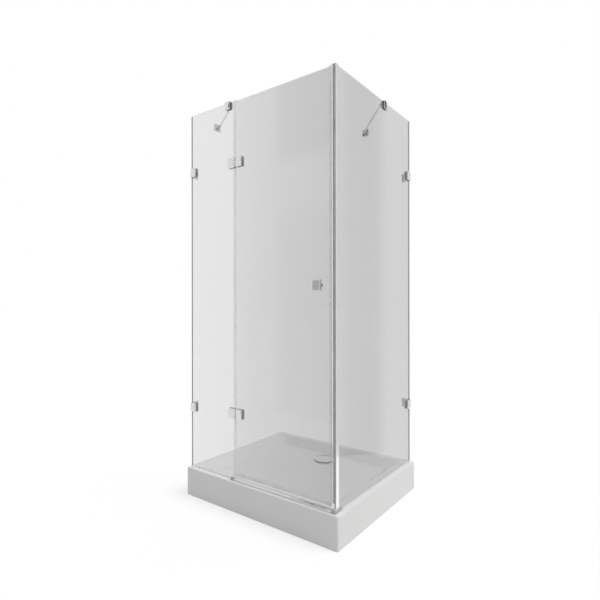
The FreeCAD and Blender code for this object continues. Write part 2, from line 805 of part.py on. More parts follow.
def make_waste():
    """Build the waste: flange, gaskets, trap, lift-out cup, cover and outlet."""
    hole = s.drain_hole_radius
    neck = hole - s.drain_neck_clearance
    neck_bore = neck - s.drain_neck_wall
    flange_bottom = floor_top + s.waste_gasket
    flange_top = flange_bottom + s.drain_flange_thickness
    neck_bottom = floor_top - s.drain_neck_length
    cup_seat = floor_top
    cup_bore = neck_bore + s.cup_lip

    def at_drain(body):
        return place(body, 0.0, drain_y)

    publish("waste_flange", at_drain(turned_body([
        (cup_bore, flange_top), (cup_bore, cup_seat), (neck_bore, cup_seat),
        (neck_bore, neck_bottom), (neck, neck_bottom), (neck, flange_bottom),
        (s.drain_flange_radius, flange_bottom),
        (s.drain_flange_radius, flange_top - s.drain_flange_bevel),
        (s.drain_flange_radius - s.drain_flange_bevel, flange_top)])))

    upper_gasket = turned_body([
        (hole, floor_top), (s.drain_flange_radius, floor_top),
        (s.drain_flange_radius, flange_bottom), (hole, flange_bottom)])
    gasket_bottom = floor_underside - s.waste_gasket
    lower_gasket = turned_body([
        (hole, gasket_bottom), (s.trap_flange_radius, gasket_bottom),
        (s.trap_flange_radius, floor_underside), (hole, floor_underside)])
    publish("waste_gaskets", group([at_drain(upper_gasket), at_drain(lower_gasket)]))

    trap_top = gasket_bottom
    trap_outer = hole + s.trap_wall
    inside_floor = s.trap_floor_height + s.trap_floor_wall
    bowl = at_drain(turned_body([
        (0.0, s.trap_floor_height), (trap_outer, s.trap_floor_height),
        (trap_outer, trap_top - s.trap_flange_thickness),
        (s.trap_flange_radius, trap_top - s.trap_flange_thickness),
        (s.trap_flange_radius, trap_top), (hole, trap_top), (hole, inside_floor),
        (0.0, inside_floor)]))
    pipe_bore = s.outlet_pipe_radius + s.outlet_pipe_clearance
    spout_outer = pipe_bore + s.outlet_wall
    axis_at = (0.0, s.outlet_height)
    spout_end = drain_y + s.outlet_reach
    nut_start = spout_end - s.outlet_nut_length + s.outlet_ring_length
    spout = rod(spout_outer, "y", axis_at, (drain_y + hole, spout_end))
    passage = rod(s.outlet_passage_radius, "y", axis_at, (drain_y, spout_end))
    socket = rod(pipe_bore, "y", axis_at, (spout_end - s.outlet_socket_depth, spout_end))
    publish("trap_body", cut(fuse([bowl, spout]), [fuse([passage, socket])]))

    ring_end = spout_end + s.outlet_ring_length
    publish("outlet_ring", cut(
        rod(spout_outer - s.thread_clearance, "y", axis_at, (spout_end, ring_end)),
        [rod(pipe_bore, "y", axis_at, (spout_end, ring_end))]))
    nut_end = ring_end + s.outlet_wall
    publish("outlet_nut", cut(
        rod(s.outlet_nut_radius, "y", axis_at, (nut_start, nut_end)),
        [fuse([
            rod(spout_outer + s.thread_clearance, "y", axis_at, (nut_start, ring_end)),
            rod(pipe_bore, "y", axis_at, (ring_end, nut_end)),
        ])]))

    lip_bottom = cup_seat + s.seat_clearance
    lip_top = lip_bottom + s.cup_lip_thickness
    tube = neck_bore - s.cup_clearance
    lip = cup_bore - s.cup_clearance / 2
    publish("trap_cup", at_drain(turned_body([
        (tube - s.cup_wall, s.cup_bottom_height), (tube, s.cup_bottom_height),
        (tube, lip_bottom), (lip, lip_bottom), (lip, lip_top), (tube - s.cup_wall, lip_top)])))

    cover_edge = floor_top + s.cover_gap
    cover_top = floor_top + s.cover_height
    shoulder = s.cover_radius - s.cover_shoulder
    crown = turned_body([
        (0.0, cover_top - s.cover_wall), (shoulder, cover_top - s.cover_wall - s.cover_crown),
        (s.cover_radius - s.cover_wall, cover_edge), (s.cover_radius, cover_edge),
        (s.cover_radius, cover_edge + s.cover_skirt), (shoulder, cover_top - s.cover_crown),
        (0.0, cover_top)])
    leg_bottom = lip_top + s.seat_clearance
    leg_at = tube - s.cup_wall / 2
    legs = []
    for angle in (90, 210, 330):
        leg = box((-s.cover_leg_width / 2, s.cover_leg_width / 2),
                  (leg_at - s.cover_leg_width / 2, leg_at + s.cover_leg_width / 2),
                  (leg_bottom, cover_top - s.cover_wall))
        turned = group([leg])
        turned.Placement = Placement(Vector(), Rotation(Vector(0, 0, 1), angle))
        legs.append(turned)
    publish("waste_cover", at_drain(fuse([crown] + legs)))


# ---------------------------------------------------------------- glass

def glass_panel(label, plane, across, up, holes):
    """Build a panel on an upright plane with its edges ground and its holes drilled."""
    body = new_body()
    sketch = new_sketch(body, plane)
    rectangle(sketch, across, up)
    pad(body, sketch, s.glass_thickness, symmetric=True)
    normal = "y" if plane == "XZ_Plane" else "x"
    faces = [edge_lies_at(normal, side * half_glass.value) for side in (-1, 1)]
    dress(body, "Chamfer", s.glass_arris, lambda edge: any(face(edge) for face in faces))
    if holes:
        drilled = new_sketch(body, plane)
        for x, z in holes:
            circle(drilled, x, z, s.glass_hole_radius)
        pocket(body, drilled)
    publish(label, body)
    return body


def make_glass():
    """Build the fixed panel, the door and the side panel."""
    screw_offsets = (-s.hinge_screw_spacing / 2, s.hinge_screw_spacing / 2)
    hinge_rows = [height + offset for height in hinge_heights for offset in screw_offsets]
    fixed_holes = [(hinge_x - s.hinge_screw_inset, z) for z in hinge_rows]
    fixed_holes += [(left_wall + s.clamp_screw_inset, z) for z in clamp_heights]
    fixed = glass_panel("fixed_panel", "XZ_Plane", (fixed_left, fixed_right),
                        (s.tray_height, glass_top), fixed_holes)
    place(fixed, y=front_plane)

    door_holes = [(hinge_x + s.hinge_screw_inset, z) for z in hinge_rows]
    door_holes.append(knob_centre())
    door = glass_panel("door_panel", "XZ_Plane", (door_left, door_right),
                       (door_bottom, door_top), door_holes)
    place(door, y=front_plane)

    side_holes = [(back_wall - s.clamp_screw_inset, z) for z in clamp_heights]
    side = glass_panel("side_panel", "YZ_Plane", (side_front, side_back),
                       (s.tray_height, glass_top), side_holes)
    place(side, x=side_plane)


def knob_centre():
    """Return the knob's place on the door, across and up."""
    return (door_right - s.knob_edge_distance, s.tray_height + s.knob_height)


# ---------------------------------------------------------------- clamping stack
# Distances from the glass's middle plane outwards, shared by the hinges and wall clamps.

gasket_outer = half_glass + s.gasket_thickness
plate_face = gasket_outer + s.outer_plate
back_face = gasket_outer + s.back_plate


def clamp_screw(x, z, middle=0.0):
    """Return a countersunk screw from the back plate into the outer plate."""
    centre = (x, z)
    head_inside = middle + back_face - s.screw_head_depth
    tip = middle - gasket_outer - s.screw_engagement
    return fuse([
        rod(s.screw_radius, "y", centre, (tip, middle + back_face)),
        cone(s.screw_radius, s.screw_head_radius, "y", centre, (head_inside, middle + back_face)),
    ])


def screw_seat(x, z, middle=0.0):
    """Return the countersunk hole through a back plate."""
    centre = (x, z)
    clear = s.screw_clearance
    head_inside = middle + back_face - s.screw_head_depth
    return fuse([
        rod(s.screw_radius + clear, "y", centre, (middle + half_glass, middle + back_face)),
        cone(s.screw_radius + clear, s.screw_head_radius + clear, "y", centre,
             (head_inside, middle + back_face)),
    ])


def screw_pocket(x, z, middle=0.0):
    """Return the blind threaded hole in an outer plate."""
    deep = middle - gasket_outer - s.screw_engagement - s.screw_clearance
    return rod(s.screw_radius + s.screw_clearance, "y", (x, z), (deep, middle - half_glass))


def glass_bush(x, z, middle=0.0):
    """Return the sleeve that keeps a screw off the glass."""
    centre = (x, z)
    span = (middle - half_glass, middle + half_glass)
    outer = s.glass_hole_radius - s.bush_clearance
    inner = s.screw_radius + s.bush_bore_clearance
    return cut(rod(outer, "y", centre, span), [rod(inner, "y", centre, span)])


def gasket_pair(across, up, holes, middle=0.0):
    """Return the two gaskets that lie on both faces of the glass."""
    gaskets = []
    for low, high in ((-gasket_outer, -half_glass), (half_glass, gasket_outer)):
        span = (middle + low, middle + high)
        sheet_of_rubber = box(across, span, up)
        drilled = [rod(s.glass_hole_radius, "y", hole, span) for hole in holes]
        gaskets.append(cut(sheet_of_rubber, drilled))
    return gaskets


def outer_plate_block(across, middle, up):
    """Return an outer plate with a bevel round its show face."""
    return bevelled_block(across, (middle - plate_face, middle - gasket_outer), up,
                          s.plate_chamfer)


# ---------------------------------------------------------------- hinges
# Drawn about the hinge pin: x across the door face, y inwards, z from the hinge's middle.

glass_from_axis = front_plane - hinge_y


def knuckle_zones():
    """Return the heights of the fixed end knuckles, the door knuckle and the washers."""
    half = s.hinge_height / 2
    end = s.knuckle_end_length
    door_low = -half + end + s.washer_thickness + s.seat_clearance
    door_high = half - end - s.washer_thickness - s.seat_clearance
    return {
        "fixed": [(-half, -half + end), (half - end, half)],
        "door": [(door_low, door_high)],
        "washer": [(-half + end, -half + end + s.washer_thickness),
                   (half - end - s.washer_thickness, half - end)],
    }


def hinge_screw_points(side):
    """Return where a leaf's screws are, on the fixed (-1) or door (+1) side."""
    x = side * s.hinge_screw_inset
    return [(x, -s.hinge_screw_spacing / 2), (x, s.hinge_screw_spacing / 2)]


def span_on_side(side, near, far):
    """Return the (low, high) pair of two distances on one side of the axis."""
    if side > 0:
        return (near, far)
    return (-far, -near)


def hinge_leaf(side, own, other):
    """Return one leaf: outer plate, its knuckles and the room for the other's knuckles."""
    half = s.hinge_height / 2
    far = s.leaf_gap + s.leaf_width
    across = span_on_side(side, s.leaf_gap, far)
    plate = outer_plate_block(across, glass_from_axis, (-half, half))
    solids = [plate]
    for zone in own:
        solids.append(rod(s.knuckle_radius, "z", (0.0, 0.0), zone))
        web = span_on_side(side, as_size(0.0), s.leaf_gap + s.plate_chamfer)
        solids.append(box(web, (s.axis_proud, s.knuckle_radius), zone))
    reach = s.knuckle_radius + s.knuckle_clearance
    gap = s.washer_thickness + s.seat_clearance
    tools = [rod(reach, "z", (0.0, 0.0), (zone[0] - gap, zone[1] + gap)) for zone in other]
    tools.append(rod(s.pin_radius + s.pin_clearance, "z", (0.0, 0.0), (-half, half)))
    for x, z in hinge_screw_points(side):
        tools.append(screw_pocket(x, z, glass_from_axis))
    return cut(fuse(solids), [fuse(tools)])


def hinge_back(side):
    """Return the plate behind the glass on one side of a hinge."""
    half = s.hinge_height / 2
    across = span_on_side(side, s.back_plate_gap, s.leaf_gap + s.leaf_width)
    block = bevelled_block(across, (glass_from_axis + gasket_outer, glass_from_axis + back_face),
                           (-half, half), s.back_chamfer, at_high_end=True)
    seats = [screw_seat(x, z, glass_from_axis) for x, z in hinge_screw_points(side)]
    return cut(block, [fuse(seats)])


def at_hinge(item, z):
    """Place something drawn about the hinge pin at one hinge."""
    return place(item, hinge_x, hinge_y, z)


def make_hinges():
    """Build both hinges, piece by piece."""
    zones = knuckle_zones()
    half = s.hinge_height / 2
    sides = {-1: ("fixed", "door"), 1: ("door", "fixed")}
    leaves = {-1: [], 1: []}
    backs = {-1: [], 1: []}
    gaskets = {-1: [], 1: []}
    screws = {-1: [], 1: []}
    bushes = {-1: [], 1: []}
    pins = []
    washers = []
    for z in hinge_heights:
        for side, (own, other) in sides.items():
            leaves[side].append(at_hinge(hinge_leaf(side, zones[own], zones[other]), z))
            backs[side].append(at_hinge(hinge_back(side), z))
            across = span_on_side(side, s.seam_gap / 2, s.leaf_gap + s.leaf_width)
            points = hinge_screw_points(side)
            pair = gasket_pair(across, (-half, half), points, glass_from_axis)
            gaskets[side].append(at_hinge(group(pair), z))
            screws[side].append(at_hinge(
                group([clamp_screw(x, up, glass_from_axis) for x, up in points]), z))
            bushes[side].append(at_hinge(
                group([glass_bush(x, up, glass_from_axis) for x, up in points]), z))
        pins.append(at_hinge(group([rod(s.pin_radius, "z", (0.0, 0.0), (-half, half))]), z))
        rings = []
        for zone in zones["washer"]:
            bore = rod(s.pin_radius + s.pin_clearance, "z", (0.0, 0.0), zone)
            rings.append(cut(rod(s.knuckle_radius, "z", (0.0, 0.0), zone), [bore]))
        washers.append(at_hinge(group(rings), z))
    for side, (own, _) in sides.items():
        publish("hinge_%s_leaves" % own, group(leaves[side]))
        publish("hinge_%s_backs" % own, group(backs[side]))
    publish("hinge_pins", group(pins))
    publish("hinge_washers", group(washers))
    return gaskets, screws, bushes


# ---------------------------------------------------------------- wall clamps
# Drawn from the wall: x away from it, y from the glass's middle plane inwards, z from the
# clamp's middle.

def wall_bracket():
    """Return the bracket that is screwed to the wall and backs the glass."""
    half = s.clamp_height / 2
    inner_leg = box((0.0, s.clamp_width), (gasket_outer, back_face), (-half, half))
    wall_leg = box((0.0, s.back_plate), (gasket_outer, gasket_outer + s.clamp_leg), (-half, half))
    spacer = box((0.0, s.wall_gap - s.clamp_glass_clearance), (-gasket_outer, gasket_outer),
                 (-half, half))
    holes = [rod(s.wall_screw_radius, "x", (gasket_outer + s.wall_screw_reach, side),
                 (0.0, s.back_plate))
             for side in (-s.wall_screw_spacing / 2, s.wall_screw_spacing / 2)]
    seat = screw_seat(s.clamp_screw_inset, as_size(0.0))
    return cut(fuse([inner_leg, wall_leg, spacer]), [group(holes), seat])


def make_wall_clamps():
    """Build the clamps that hold the fixed panel and the side panel to the walls."""
    half = s.clamp_height / 2
    plates = []
    gaskets = []
    screws = []
    bushes = []
    walls = {
        "left": (left_wall, front_plane, NO_TURN),
        "back": (side_plane, back_wall, SIDE_TURN),
    }
    point = (s.clamp_screw_inset, as_size(0.0))
    for wall, (x, y, turn) in walls.items():
        for level, z in zip(("lower", "upper"), clamp_heights):
            bracket = place(wall_bracket(), x, y, z, turn)
            publish("wall_bracket_%s_%s" % (wall, level), bracket)
            plate = cut(outer_plate_block((s.clamp_plate_start, s.clamp_width), as_size(0.0),
                                          (-half, half)),
                        [screw_pocket(*point)])
            plates.append(place(plate, x, y, z, turn))
            pair = gasket_pair((s.wall_gap, s.clamp_width), (-half, half), [point])
            gaskets.append(place(group(pair), x, y, z, turn))
            screws.append(place(clamp_screw(*point), x, y, z, turn))
            bushes.append(place(glass_bush(*point), x, y, z, turn))
    publish("wall_clamp_plates", group(plates))
    return gaskets, screws, bushes


# ---------------------------------------------------------------- stabilisers

def pivot_from_glass():
    """Return how far a saddle's pivot stands from the glass's middle plane."""
    return half_glass + s.saddle_pad + s.saddle_cheek + s.lug_reach


def lug(start, reach, z):
    """Return a flat lug along +Y with a round end and a pivot hole."""
    span = (z - s.lug_thickness / 2, z + s.lug_thickness / 2)
    end = start + reach
    tongue = box((-s.lug_radius, s.lug_radius), (start, end), span)
    hole = rod(s.pivot_radius + s.pivot_clearance, "z", (0.0, end), span)
    return cut(fuse([tongue, rod(s.lug_radius, "z", (0.0, end), span)]), [hole])


def saddle():
    """Return the clamp over the top edge of the glass, with its lug to the inside."""
    slot = half_glass + s.saddle_pad
    outer = slot + s.saddle_cheek
    low = -s.saddle_depth
    bevel = s.plate_chamfer
    body = new_body()
    section = new_sketch(body, "YZ_Plane")
    polygon(section, [
        (-outer, low), (-slot, low), (-slot, 0.0), (slot, 0.0), (slot, low), (outer, low),
        (outer, s.saddle_bridge - bevel), (outer - bevel, s.saddle_bridge),
        (bevel - outer, s.saddle_bridge), (-outer, s.saddle_bridge - bevel)])
    pad(body, section, s.saddle_length, symmetric=True)
    grub_hole = new_sketch(body, "XZ_Plane", -outer)
    circle(grub_hole, 0.0, -s.grub_drop, s.grub_radius)
    pocket(body, grub_hole, s.saddle_cheek, reverse=True)
    return fuse([body, lug(outer, s.lug_reach, -s.bar_drop)])


def wall_flange():
    """Return a square block on the wall y = 0, with its lug along +Y, drawn at bar height."""
    half = s.flange_size / 2
    block = bevelled_block((-half, half), (0.0, s.flange_thickness), (-half, half),
                           s.plate_chamfer, at_high_end=True)
    tongue = lug(s.flange_thickness, s.lug_reach, as_size(0.0))
    holes = [rod(s.flange_screw_radius, "y", (0.0, side), (0.0, s.flange_thickness))
             for side in (-s.flange_screw_spacing / 2, s.flange_screw_spacing / 2)]
    return fuse([cut(block, [group(holes)]), tongue])


def end_socket():
    """Return the forked end of a bar, drawn from its pivot along +X."""
    body = rod(s.end_radius, "x", (0.0, 0.0), (-s.end_back, s.end_length))
    half_slot = s.lug_thickness / 2 + s.lug_clearance
    slot = box((-s.end_back, s.end_slot), (-s.end_radius, s.end_radius), (-half_slot, half_slot))
    bore = rod(s.bar_radius + s.bar_clearance, "x", (0.0, 0.0),
               (s.end_socket_start, s.end_length))
    pivot = rod(s.pivot_radius + s.pivot_clearance, "z", (0.0, 0.0),
                (-s.end_radius, s.end_radius))
    return cut(body, [group([slot, bore, pivot])])


def make_stabilisers():
    """Build both stabilisers from their saddle to their wall."""
    bar_height = glass_top - s.bar_drop
    wall_reach = s.flange_thickness + s.lug_reach
    left_x = left_wall + s.saddle_left_inset
    right_y = back_wall - s.saddle_right_inset
    sites = {
        "left": {
            "saddle": (left_x, front_plane, NO_TURN),
            "flange": (left_wall, front_edge + s.flange_left_offset,
                       Rotation(Vector(0, 0, 1), -90)),
            "start": (left_x, front_plane + pivot_from_glass()),
            "end": (left_wall + wall_reach, front_edge + s.flange_left_offset),
        },
        "right": {
            "saddle": (side_plane, right_y, Rotation(Vector(0, 0, 1), 90)),
            "flange": (right_edge - s.flange_right_offset, back_wall,
                       Rotation(Vector(0, 0, 1), 180)),
            "start": (side_plane - pivot_from_glass(), right_y),
            "end": (right_edge - s.flange_right_offset, back_wall - wall_reach),
        },
    }
    ends = []
    screws = []
    pads = []
    for name, site in sites.items():
        x, y, turn = site["saddle"]
        publish("stabiliser_%s_clamp" % name, place(saddle(), x, y, glass_top, turn))
        pair = [box((-s.saddle_length / 2, s.saddle_length / 2), span, (-s.saddle_depth, 0.0))
                for span in ((-half_glass - s.saddle_pad, -half_glass),
                             (half_glass, half_glass + s.saddle_pad))]
        pads.append(place(group(pair), x, y, glass_top, turn))
        slot = half_glass + s.saddle_pad
        grub = rod(s.grub_radius - s.thread_clearance, "y", (0.0, -s.grub_drop),
                   (slot, slot + s.saddle_cheek))
        screws.append(place(group([grub]), x, y, glass_top, turn))

        x, y, turn = site["flange"]
        publish("stabiliser_%s_flange" % name, place(wall_flange(), x, y, bar_height, turn))

        start, end = site["start"], site["end"]
        run, rise = end[0] - start[0], end[1] - start[1]
        length = distance(run, rise)
        bottom = s.end_socket_start + s.bar_clearance
        bar = group([rod(s.bar_radius, "x", (0.0, 0.0), (bottom, length - bottom))])
        place(bar, start[0], start[1], bar_height)
        publish("stabiliser_%s_bar" % name, turn_about_z(bar, heading(run, rise)))
        for point, angle in ((start, heading(run, rise)), (end, heading(-run, -rise))):
            fork = place(end_socket(), point[0], point[1], bar_height)
            ends.append(turn_about_z(fork, angle))
            half_pin = s.end_radius - s.pivot_recess
            screws.append(rod(s.pivot_radius, "z", point,
                              (bar_height - half_pin, bar_height + half_pin)))
    publish("stabiliser_ends", group(ends))
    publish("stabiliser_screws", group(screws))
    publish("stabiliser_pads", group(pads))


# ---------------------------------------------------------------- knob

def make_knob():
    """Build the knob outside the door, its stud and the cap inside."""
    x, z = knob_centre()
    outside = front_plane - half_glass
    inside = front_plane + half_glass
    half = s.knob_size / 2
    face = outside - s.knob_reach
    plate_back = face + s.knob_plate
    plate = bevelled_block((x - half, x + half), (face, plate_back), (z - half, z + half),
                           s.knob_chamfer)
    stem = rod(s.knob_stem_radius, "y", (x, z), (plate_back, outside - s.knob_washer))
    stud_start = outside - s.knob_washer - s.knob_thread_depth
    thread = rod(s.screw_radius + s.screw_clearance, "y", (x, z),
                 (stud_start - s.screw_clearance, outside - s.knob_washer))
    publish("knob", cut(fuse([plate, stem]), [thread]))

    bore = s.screw_radius + s.bush_bore_clearance
    washers = []
    for span in ((outside - s.knob_washer, outside), (inside, inside + s.knob_washer)):
        washers.append(cut(rod(s.knob_washer_radius, "y", (x, z), span),
                           [rod(bore, "y", (x, z), span)]))
    publish("knob_washers", group(washers))

    cap_start = inside + s.knob_washer
    cap_end = cap_start + s.knob_cap_height
    stud_end = cap_end - 2 * s.knob_cap_blend
    publish("knob_stud", group([rod(s.screw_radius, "y", (x, z), (stud_start, stud_end))]))
    cap = fuse([
        rod(s.knob_cap_radius, "y", (x, z), (cap_start, cap_end - s.knob_cap_blend)),
        cone(s.knob_cap_radius, s.knob_cap_radius - s.knob_cap_blend, "y", (x, z),
             (cap_end - s.knob_cap_blend, cap_end)),
    ])
    publish("knob_back_cap", cut(cap, [
        rod(s.screw_radius + s.screw_clearance, "y", (x, z),
            (cap_start, stud_end + s.screw_clearance))]))
    return group([glass_bush(x, z, front_plane)])


# ---------------------------------------------------------------- seals and strips

def profile(label, plane, outline, start, length, holes=()):
    """Build a strip of even section from its outline, and any hollow along it."""
    body = new_body()
    sketch = new_sketch(body, plane, start)
    polygon(sketch, outline)
    for hole in holes:
        rectangle(sketch, *hole)
    pad(body, sketch, length)
    if label:
        publish(label, body)
    return body


def make_hinge_seal():
    """Build the seal on the fixed panel's edge, broken at the hinges."""
    wall = s.seal_wall
    half = half_glass
    edge = fixed_right
    tip = door_left - s.seal_touch_gap
    y = front_plane
    outline = [
        (edge - s.seal_leg, y - half - wall), (edge + wall, y - half - wall),
        (edge + wall, y - wall), (tip, y - wall), (tip, y + wall), (edge + wall, y + wall),
        (edge + wall, y + half + wall), (edge - s.seal_leg, y + half + wall),
        (edge - s.seal_leg, y + half), (edge, y + half), (edge, y - half),
        (edge - s.seal_leg, y - half),
    ]
    clear = s.hinge_height / 2 + s.seal_end_gap
    stops = [threshold_top + s.seal_end_gap]
    for z in hinge_heights:
        stops += [z - clear, z + clear]
    stops.append(glass_top + s.seal_top_rise)
    lengths = []
    for low, high in zip(stops[0::2], stops[1::2]):
        lengths.append(profile(None, "XY_Plane", outline, low, high - low))
    publish("hinge_seal", group(lengths))


def magnet_outline(chamber_x, chamber_y):
    """Return the outline of a magnet strip in its chamber."""
    trim = s.magnet_clearance
    x = grown(chamber_x, -trim)
    y = grown(chamber_y, -trim)
    return [(x[0], y[0]), (x[1], y[0]), (x[1], y[1]), (x[0], y[1])]


def make_corner_seals():
    """Build the magnetic seals on the door's free edge and on the side panel."""
    wall = s.seal_wall
    half = half_glass
    y = front_plane
    meeting = side_plane - half - s.side_seal_wall
    chamber = s.magnet_size + 2 * s.magnet_clearance
    chamber_y = (y - chamber / 2, y + chamber / 2)
    top = glass_top + s.seal_top_rise

    # Seal on the door: legs on both faces of the glass and a block beyond its edge.
    block_right = meeting - s.magnet_gap
    chamber_x = (block_right - wall - chamber, block_right - wall)
    low = door_bottom + s.sweep_leg + s.seal_end_gap
    leg_end = door_right - s.seal_leg
    profile("door_seal", "XY_Plane", [
        (leg_end, y - half - wall), (block_right, y - half - wall),
        (block_right, y + half + wall), (leg_end, y + half + wall),
        (leg_end, y + half), (door_right, y + half), (door_right, y - half), (leg_end, y - half),
    ], low, top - low, [(chamber_x, chamber_y)])
    profile("door_magnet", "XY_Plane", magnet_outline(chamber_x, chamber_y), low, top - low)

    # Seal on the side panel: legs on both faces, a block in front, a strike lip behind the door.
    low = threshold_top + s.seal_end_gap
    inner_face = side_plane - half
    outer_face = side_plane + half
    lip = y + half + wall + s.seal_touch_gap
    lip_end = meeting - s.strike_reach
    leg_end = side_front + s.seal_leg
    chamber_x = (meeting + wall, meeting + wall + chamber)
    profile("side_seal", "XY_Plane", [
        (meeting, y - half - wall), (outer_face + wall, y - half - wall),
        (outer_face + wall, leg_end), (outer_face, leg_end), (outer_face, side_front),
        (inner_face, side_front), (inner_face, leg_end), (inner_face - wall, leg_end),
        (inner_face - wall, lip + s.strike_lip), (lip_end, lip + s.strike_lip),
        (lip_end, lip), (meeting, lip),
    ], low, top - low, [(chamber_x, chamber_y)])
    profile("side_magnet", "XY_Plane", magnet_outline(chamber_x, chamber_y), low, top - low)


def make_door_sweep():
    """Build the sweep under the door: legs on both faces and a lip down to the threshold."""
    wall = s.seal_wall
    y = front_plane
    half = half_glass
    top = door_bottom + s.sweep_leg
    web = door_bottom - s.sweep_glass_seat
    profile("door_sweep", "YZ_Plane", [
        (y - half - wall, web), (y - half - wall, top), (y - half, top),
        (y - half, door_bottom), (y + half, door_bottom), (y + half, top),
        (y + half + wall, top), (y + half + wall, web), (y + wall, web),
        (y + wall, sweep_bottom), (y - wall, sweep_bottom), (y - wall, web),
    ], door_left + s.seal_end_gap, door_right - door_left - 2 * s.seal_end_gap)


def make_threshold():
    """Build the threshold on the rim under the door and the caps at its ends."""
    front = front_plane - half_glass - s.threshold_front
    back = front + s.threshold_depth
    foot = s.tray_height
    top = threshold_top
    start = fixed_right + s.cap_gap
    end = side_plane - half_glass - s.side_seal_wall - s.strike_reach
    profile("threshold", "YZ_Plane", [
        (front, foot), (back, foot), (back, foot + s.threshold_back_height),
        (back - s.threshold_slope, top), (front + s.threshold_bevel, top),
        (front, top - s.threshold_bevel),
    ], start, end - start)

    outside = front_plane - half_glass - s.cap_gap
    left_cap = box((start - s.cap_length, start), (front, outside), (foot, top))
    cap_front = front - s.cap_gap
    right = side_plane + half_glass + s.cap_gap + s.cap_wall
    seal_front = front_plane - half_glass - s.seal_wall - s.cap_gap
    corner = fuse([
        box((end + s.cap_gap, right), (cap_front, seal_front), (foot, top)),
        box((side_plane + half_glass + s.seal_wall + s.cap_gap, right + s.seal_wall),
            (cap_front, cap_front + s.cap_side_reach), (foot, top)),
    ])
    publish("threshold_caps", group([left_cap, corner]))


# ---------------------------------------------------------------- build and write

def check_document():
    """Stop if any object failed or any sub-part is empty or broken."""
    doc.recompute()
    for item in doc.Objects:
        if "Invalid" in item.State or "Error" in item.State:
            raise RuntimeError("%s (%s) failed: %s" % (item.Name, item.Label, item.State))
    for item in pieces:
        shape = item.Shape
        if shape.isNull() or not shape.isValid() or not shape.Solids:
            raise RuntimeError("%s has no sound solid" % item.Label)


def write_pieces():
    """Write each sub-part to a file of its own name."""
    os.makedirs(OUTPUT_FOLDER, exist_ok=True)
    for item in pieces:
        item.Shape.exportStep(os.path.join(OUTPUT_FOLDER, item.Label + ".step"))


make_tray_skirt()
make_tray_rim()
make_tray_floor()
make_tray_board()
make_feet()
make_waste()
make_glass()
hinge_gaskets, hinge_screws, hinge_bushes = make_hinges()
clamp_gaskets, clamp_screws, clamp_bushes = make_wall_clamps()
make_stabilisers()
knob_bush = make_knob()
publish("panel_gaskets", group(hinge_gaskets[-1] + clamp_gaskets))
publish("door_gaskets", group(hinge_gaskets[1]))
publish("panel_screws", group(hinge_screws[-1] + clamp_screws))
publish("door_screws", group(hinge_screws[1]))
publish("panel_bushes", group(hinge_bushes[-1] + clamp_bushes))
publish("door_bushes", group(hinge_bushes[1] + [knob_bush]))
make_hinge_seal()
make_corner_seals()
make_door_sweep()
make_threshold()
check_document()
write_pieces()
print("%d sub-parts written" % len(pieces))
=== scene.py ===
import json
import logging
from dataclasses import dataclass, field
from enum import Enum
from math import atan, cos, pi, radians, sin, tan
from typing import Iterable, Optional, Union

import bmesh
import bpy
from mathutils import Matrix, Vector

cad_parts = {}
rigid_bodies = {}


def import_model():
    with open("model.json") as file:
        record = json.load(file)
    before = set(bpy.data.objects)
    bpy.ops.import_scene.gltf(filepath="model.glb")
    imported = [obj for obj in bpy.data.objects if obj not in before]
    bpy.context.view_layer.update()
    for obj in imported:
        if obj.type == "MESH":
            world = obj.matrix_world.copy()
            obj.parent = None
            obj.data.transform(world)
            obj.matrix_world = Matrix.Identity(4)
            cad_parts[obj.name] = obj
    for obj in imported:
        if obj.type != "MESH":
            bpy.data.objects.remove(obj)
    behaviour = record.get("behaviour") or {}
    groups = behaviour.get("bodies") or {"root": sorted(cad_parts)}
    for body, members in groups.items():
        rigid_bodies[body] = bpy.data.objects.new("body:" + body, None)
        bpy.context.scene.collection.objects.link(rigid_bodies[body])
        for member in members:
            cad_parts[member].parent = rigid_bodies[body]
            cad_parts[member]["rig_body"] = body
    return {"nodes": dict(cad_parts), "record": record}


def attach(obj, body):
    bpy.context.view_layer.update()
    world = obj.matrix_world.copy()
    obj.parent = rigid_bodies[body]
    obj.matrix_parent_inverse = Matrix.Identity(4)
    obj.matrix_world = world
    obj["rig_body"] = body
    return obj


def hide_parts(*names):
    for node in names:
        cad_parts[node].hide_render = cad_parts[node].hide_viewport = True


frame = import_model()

log = logging.getLogger("shower")
MM = 0.001
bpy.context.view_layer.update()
Colour = tuple[float, float, float]


class Fade(Enum):
    """How a value runs from one end of a range to the other."""

    SOFT = "SMOOTHSTEP"
    EVEN = "LINEAR"


# ---------------------------------------------------------------- shader maths

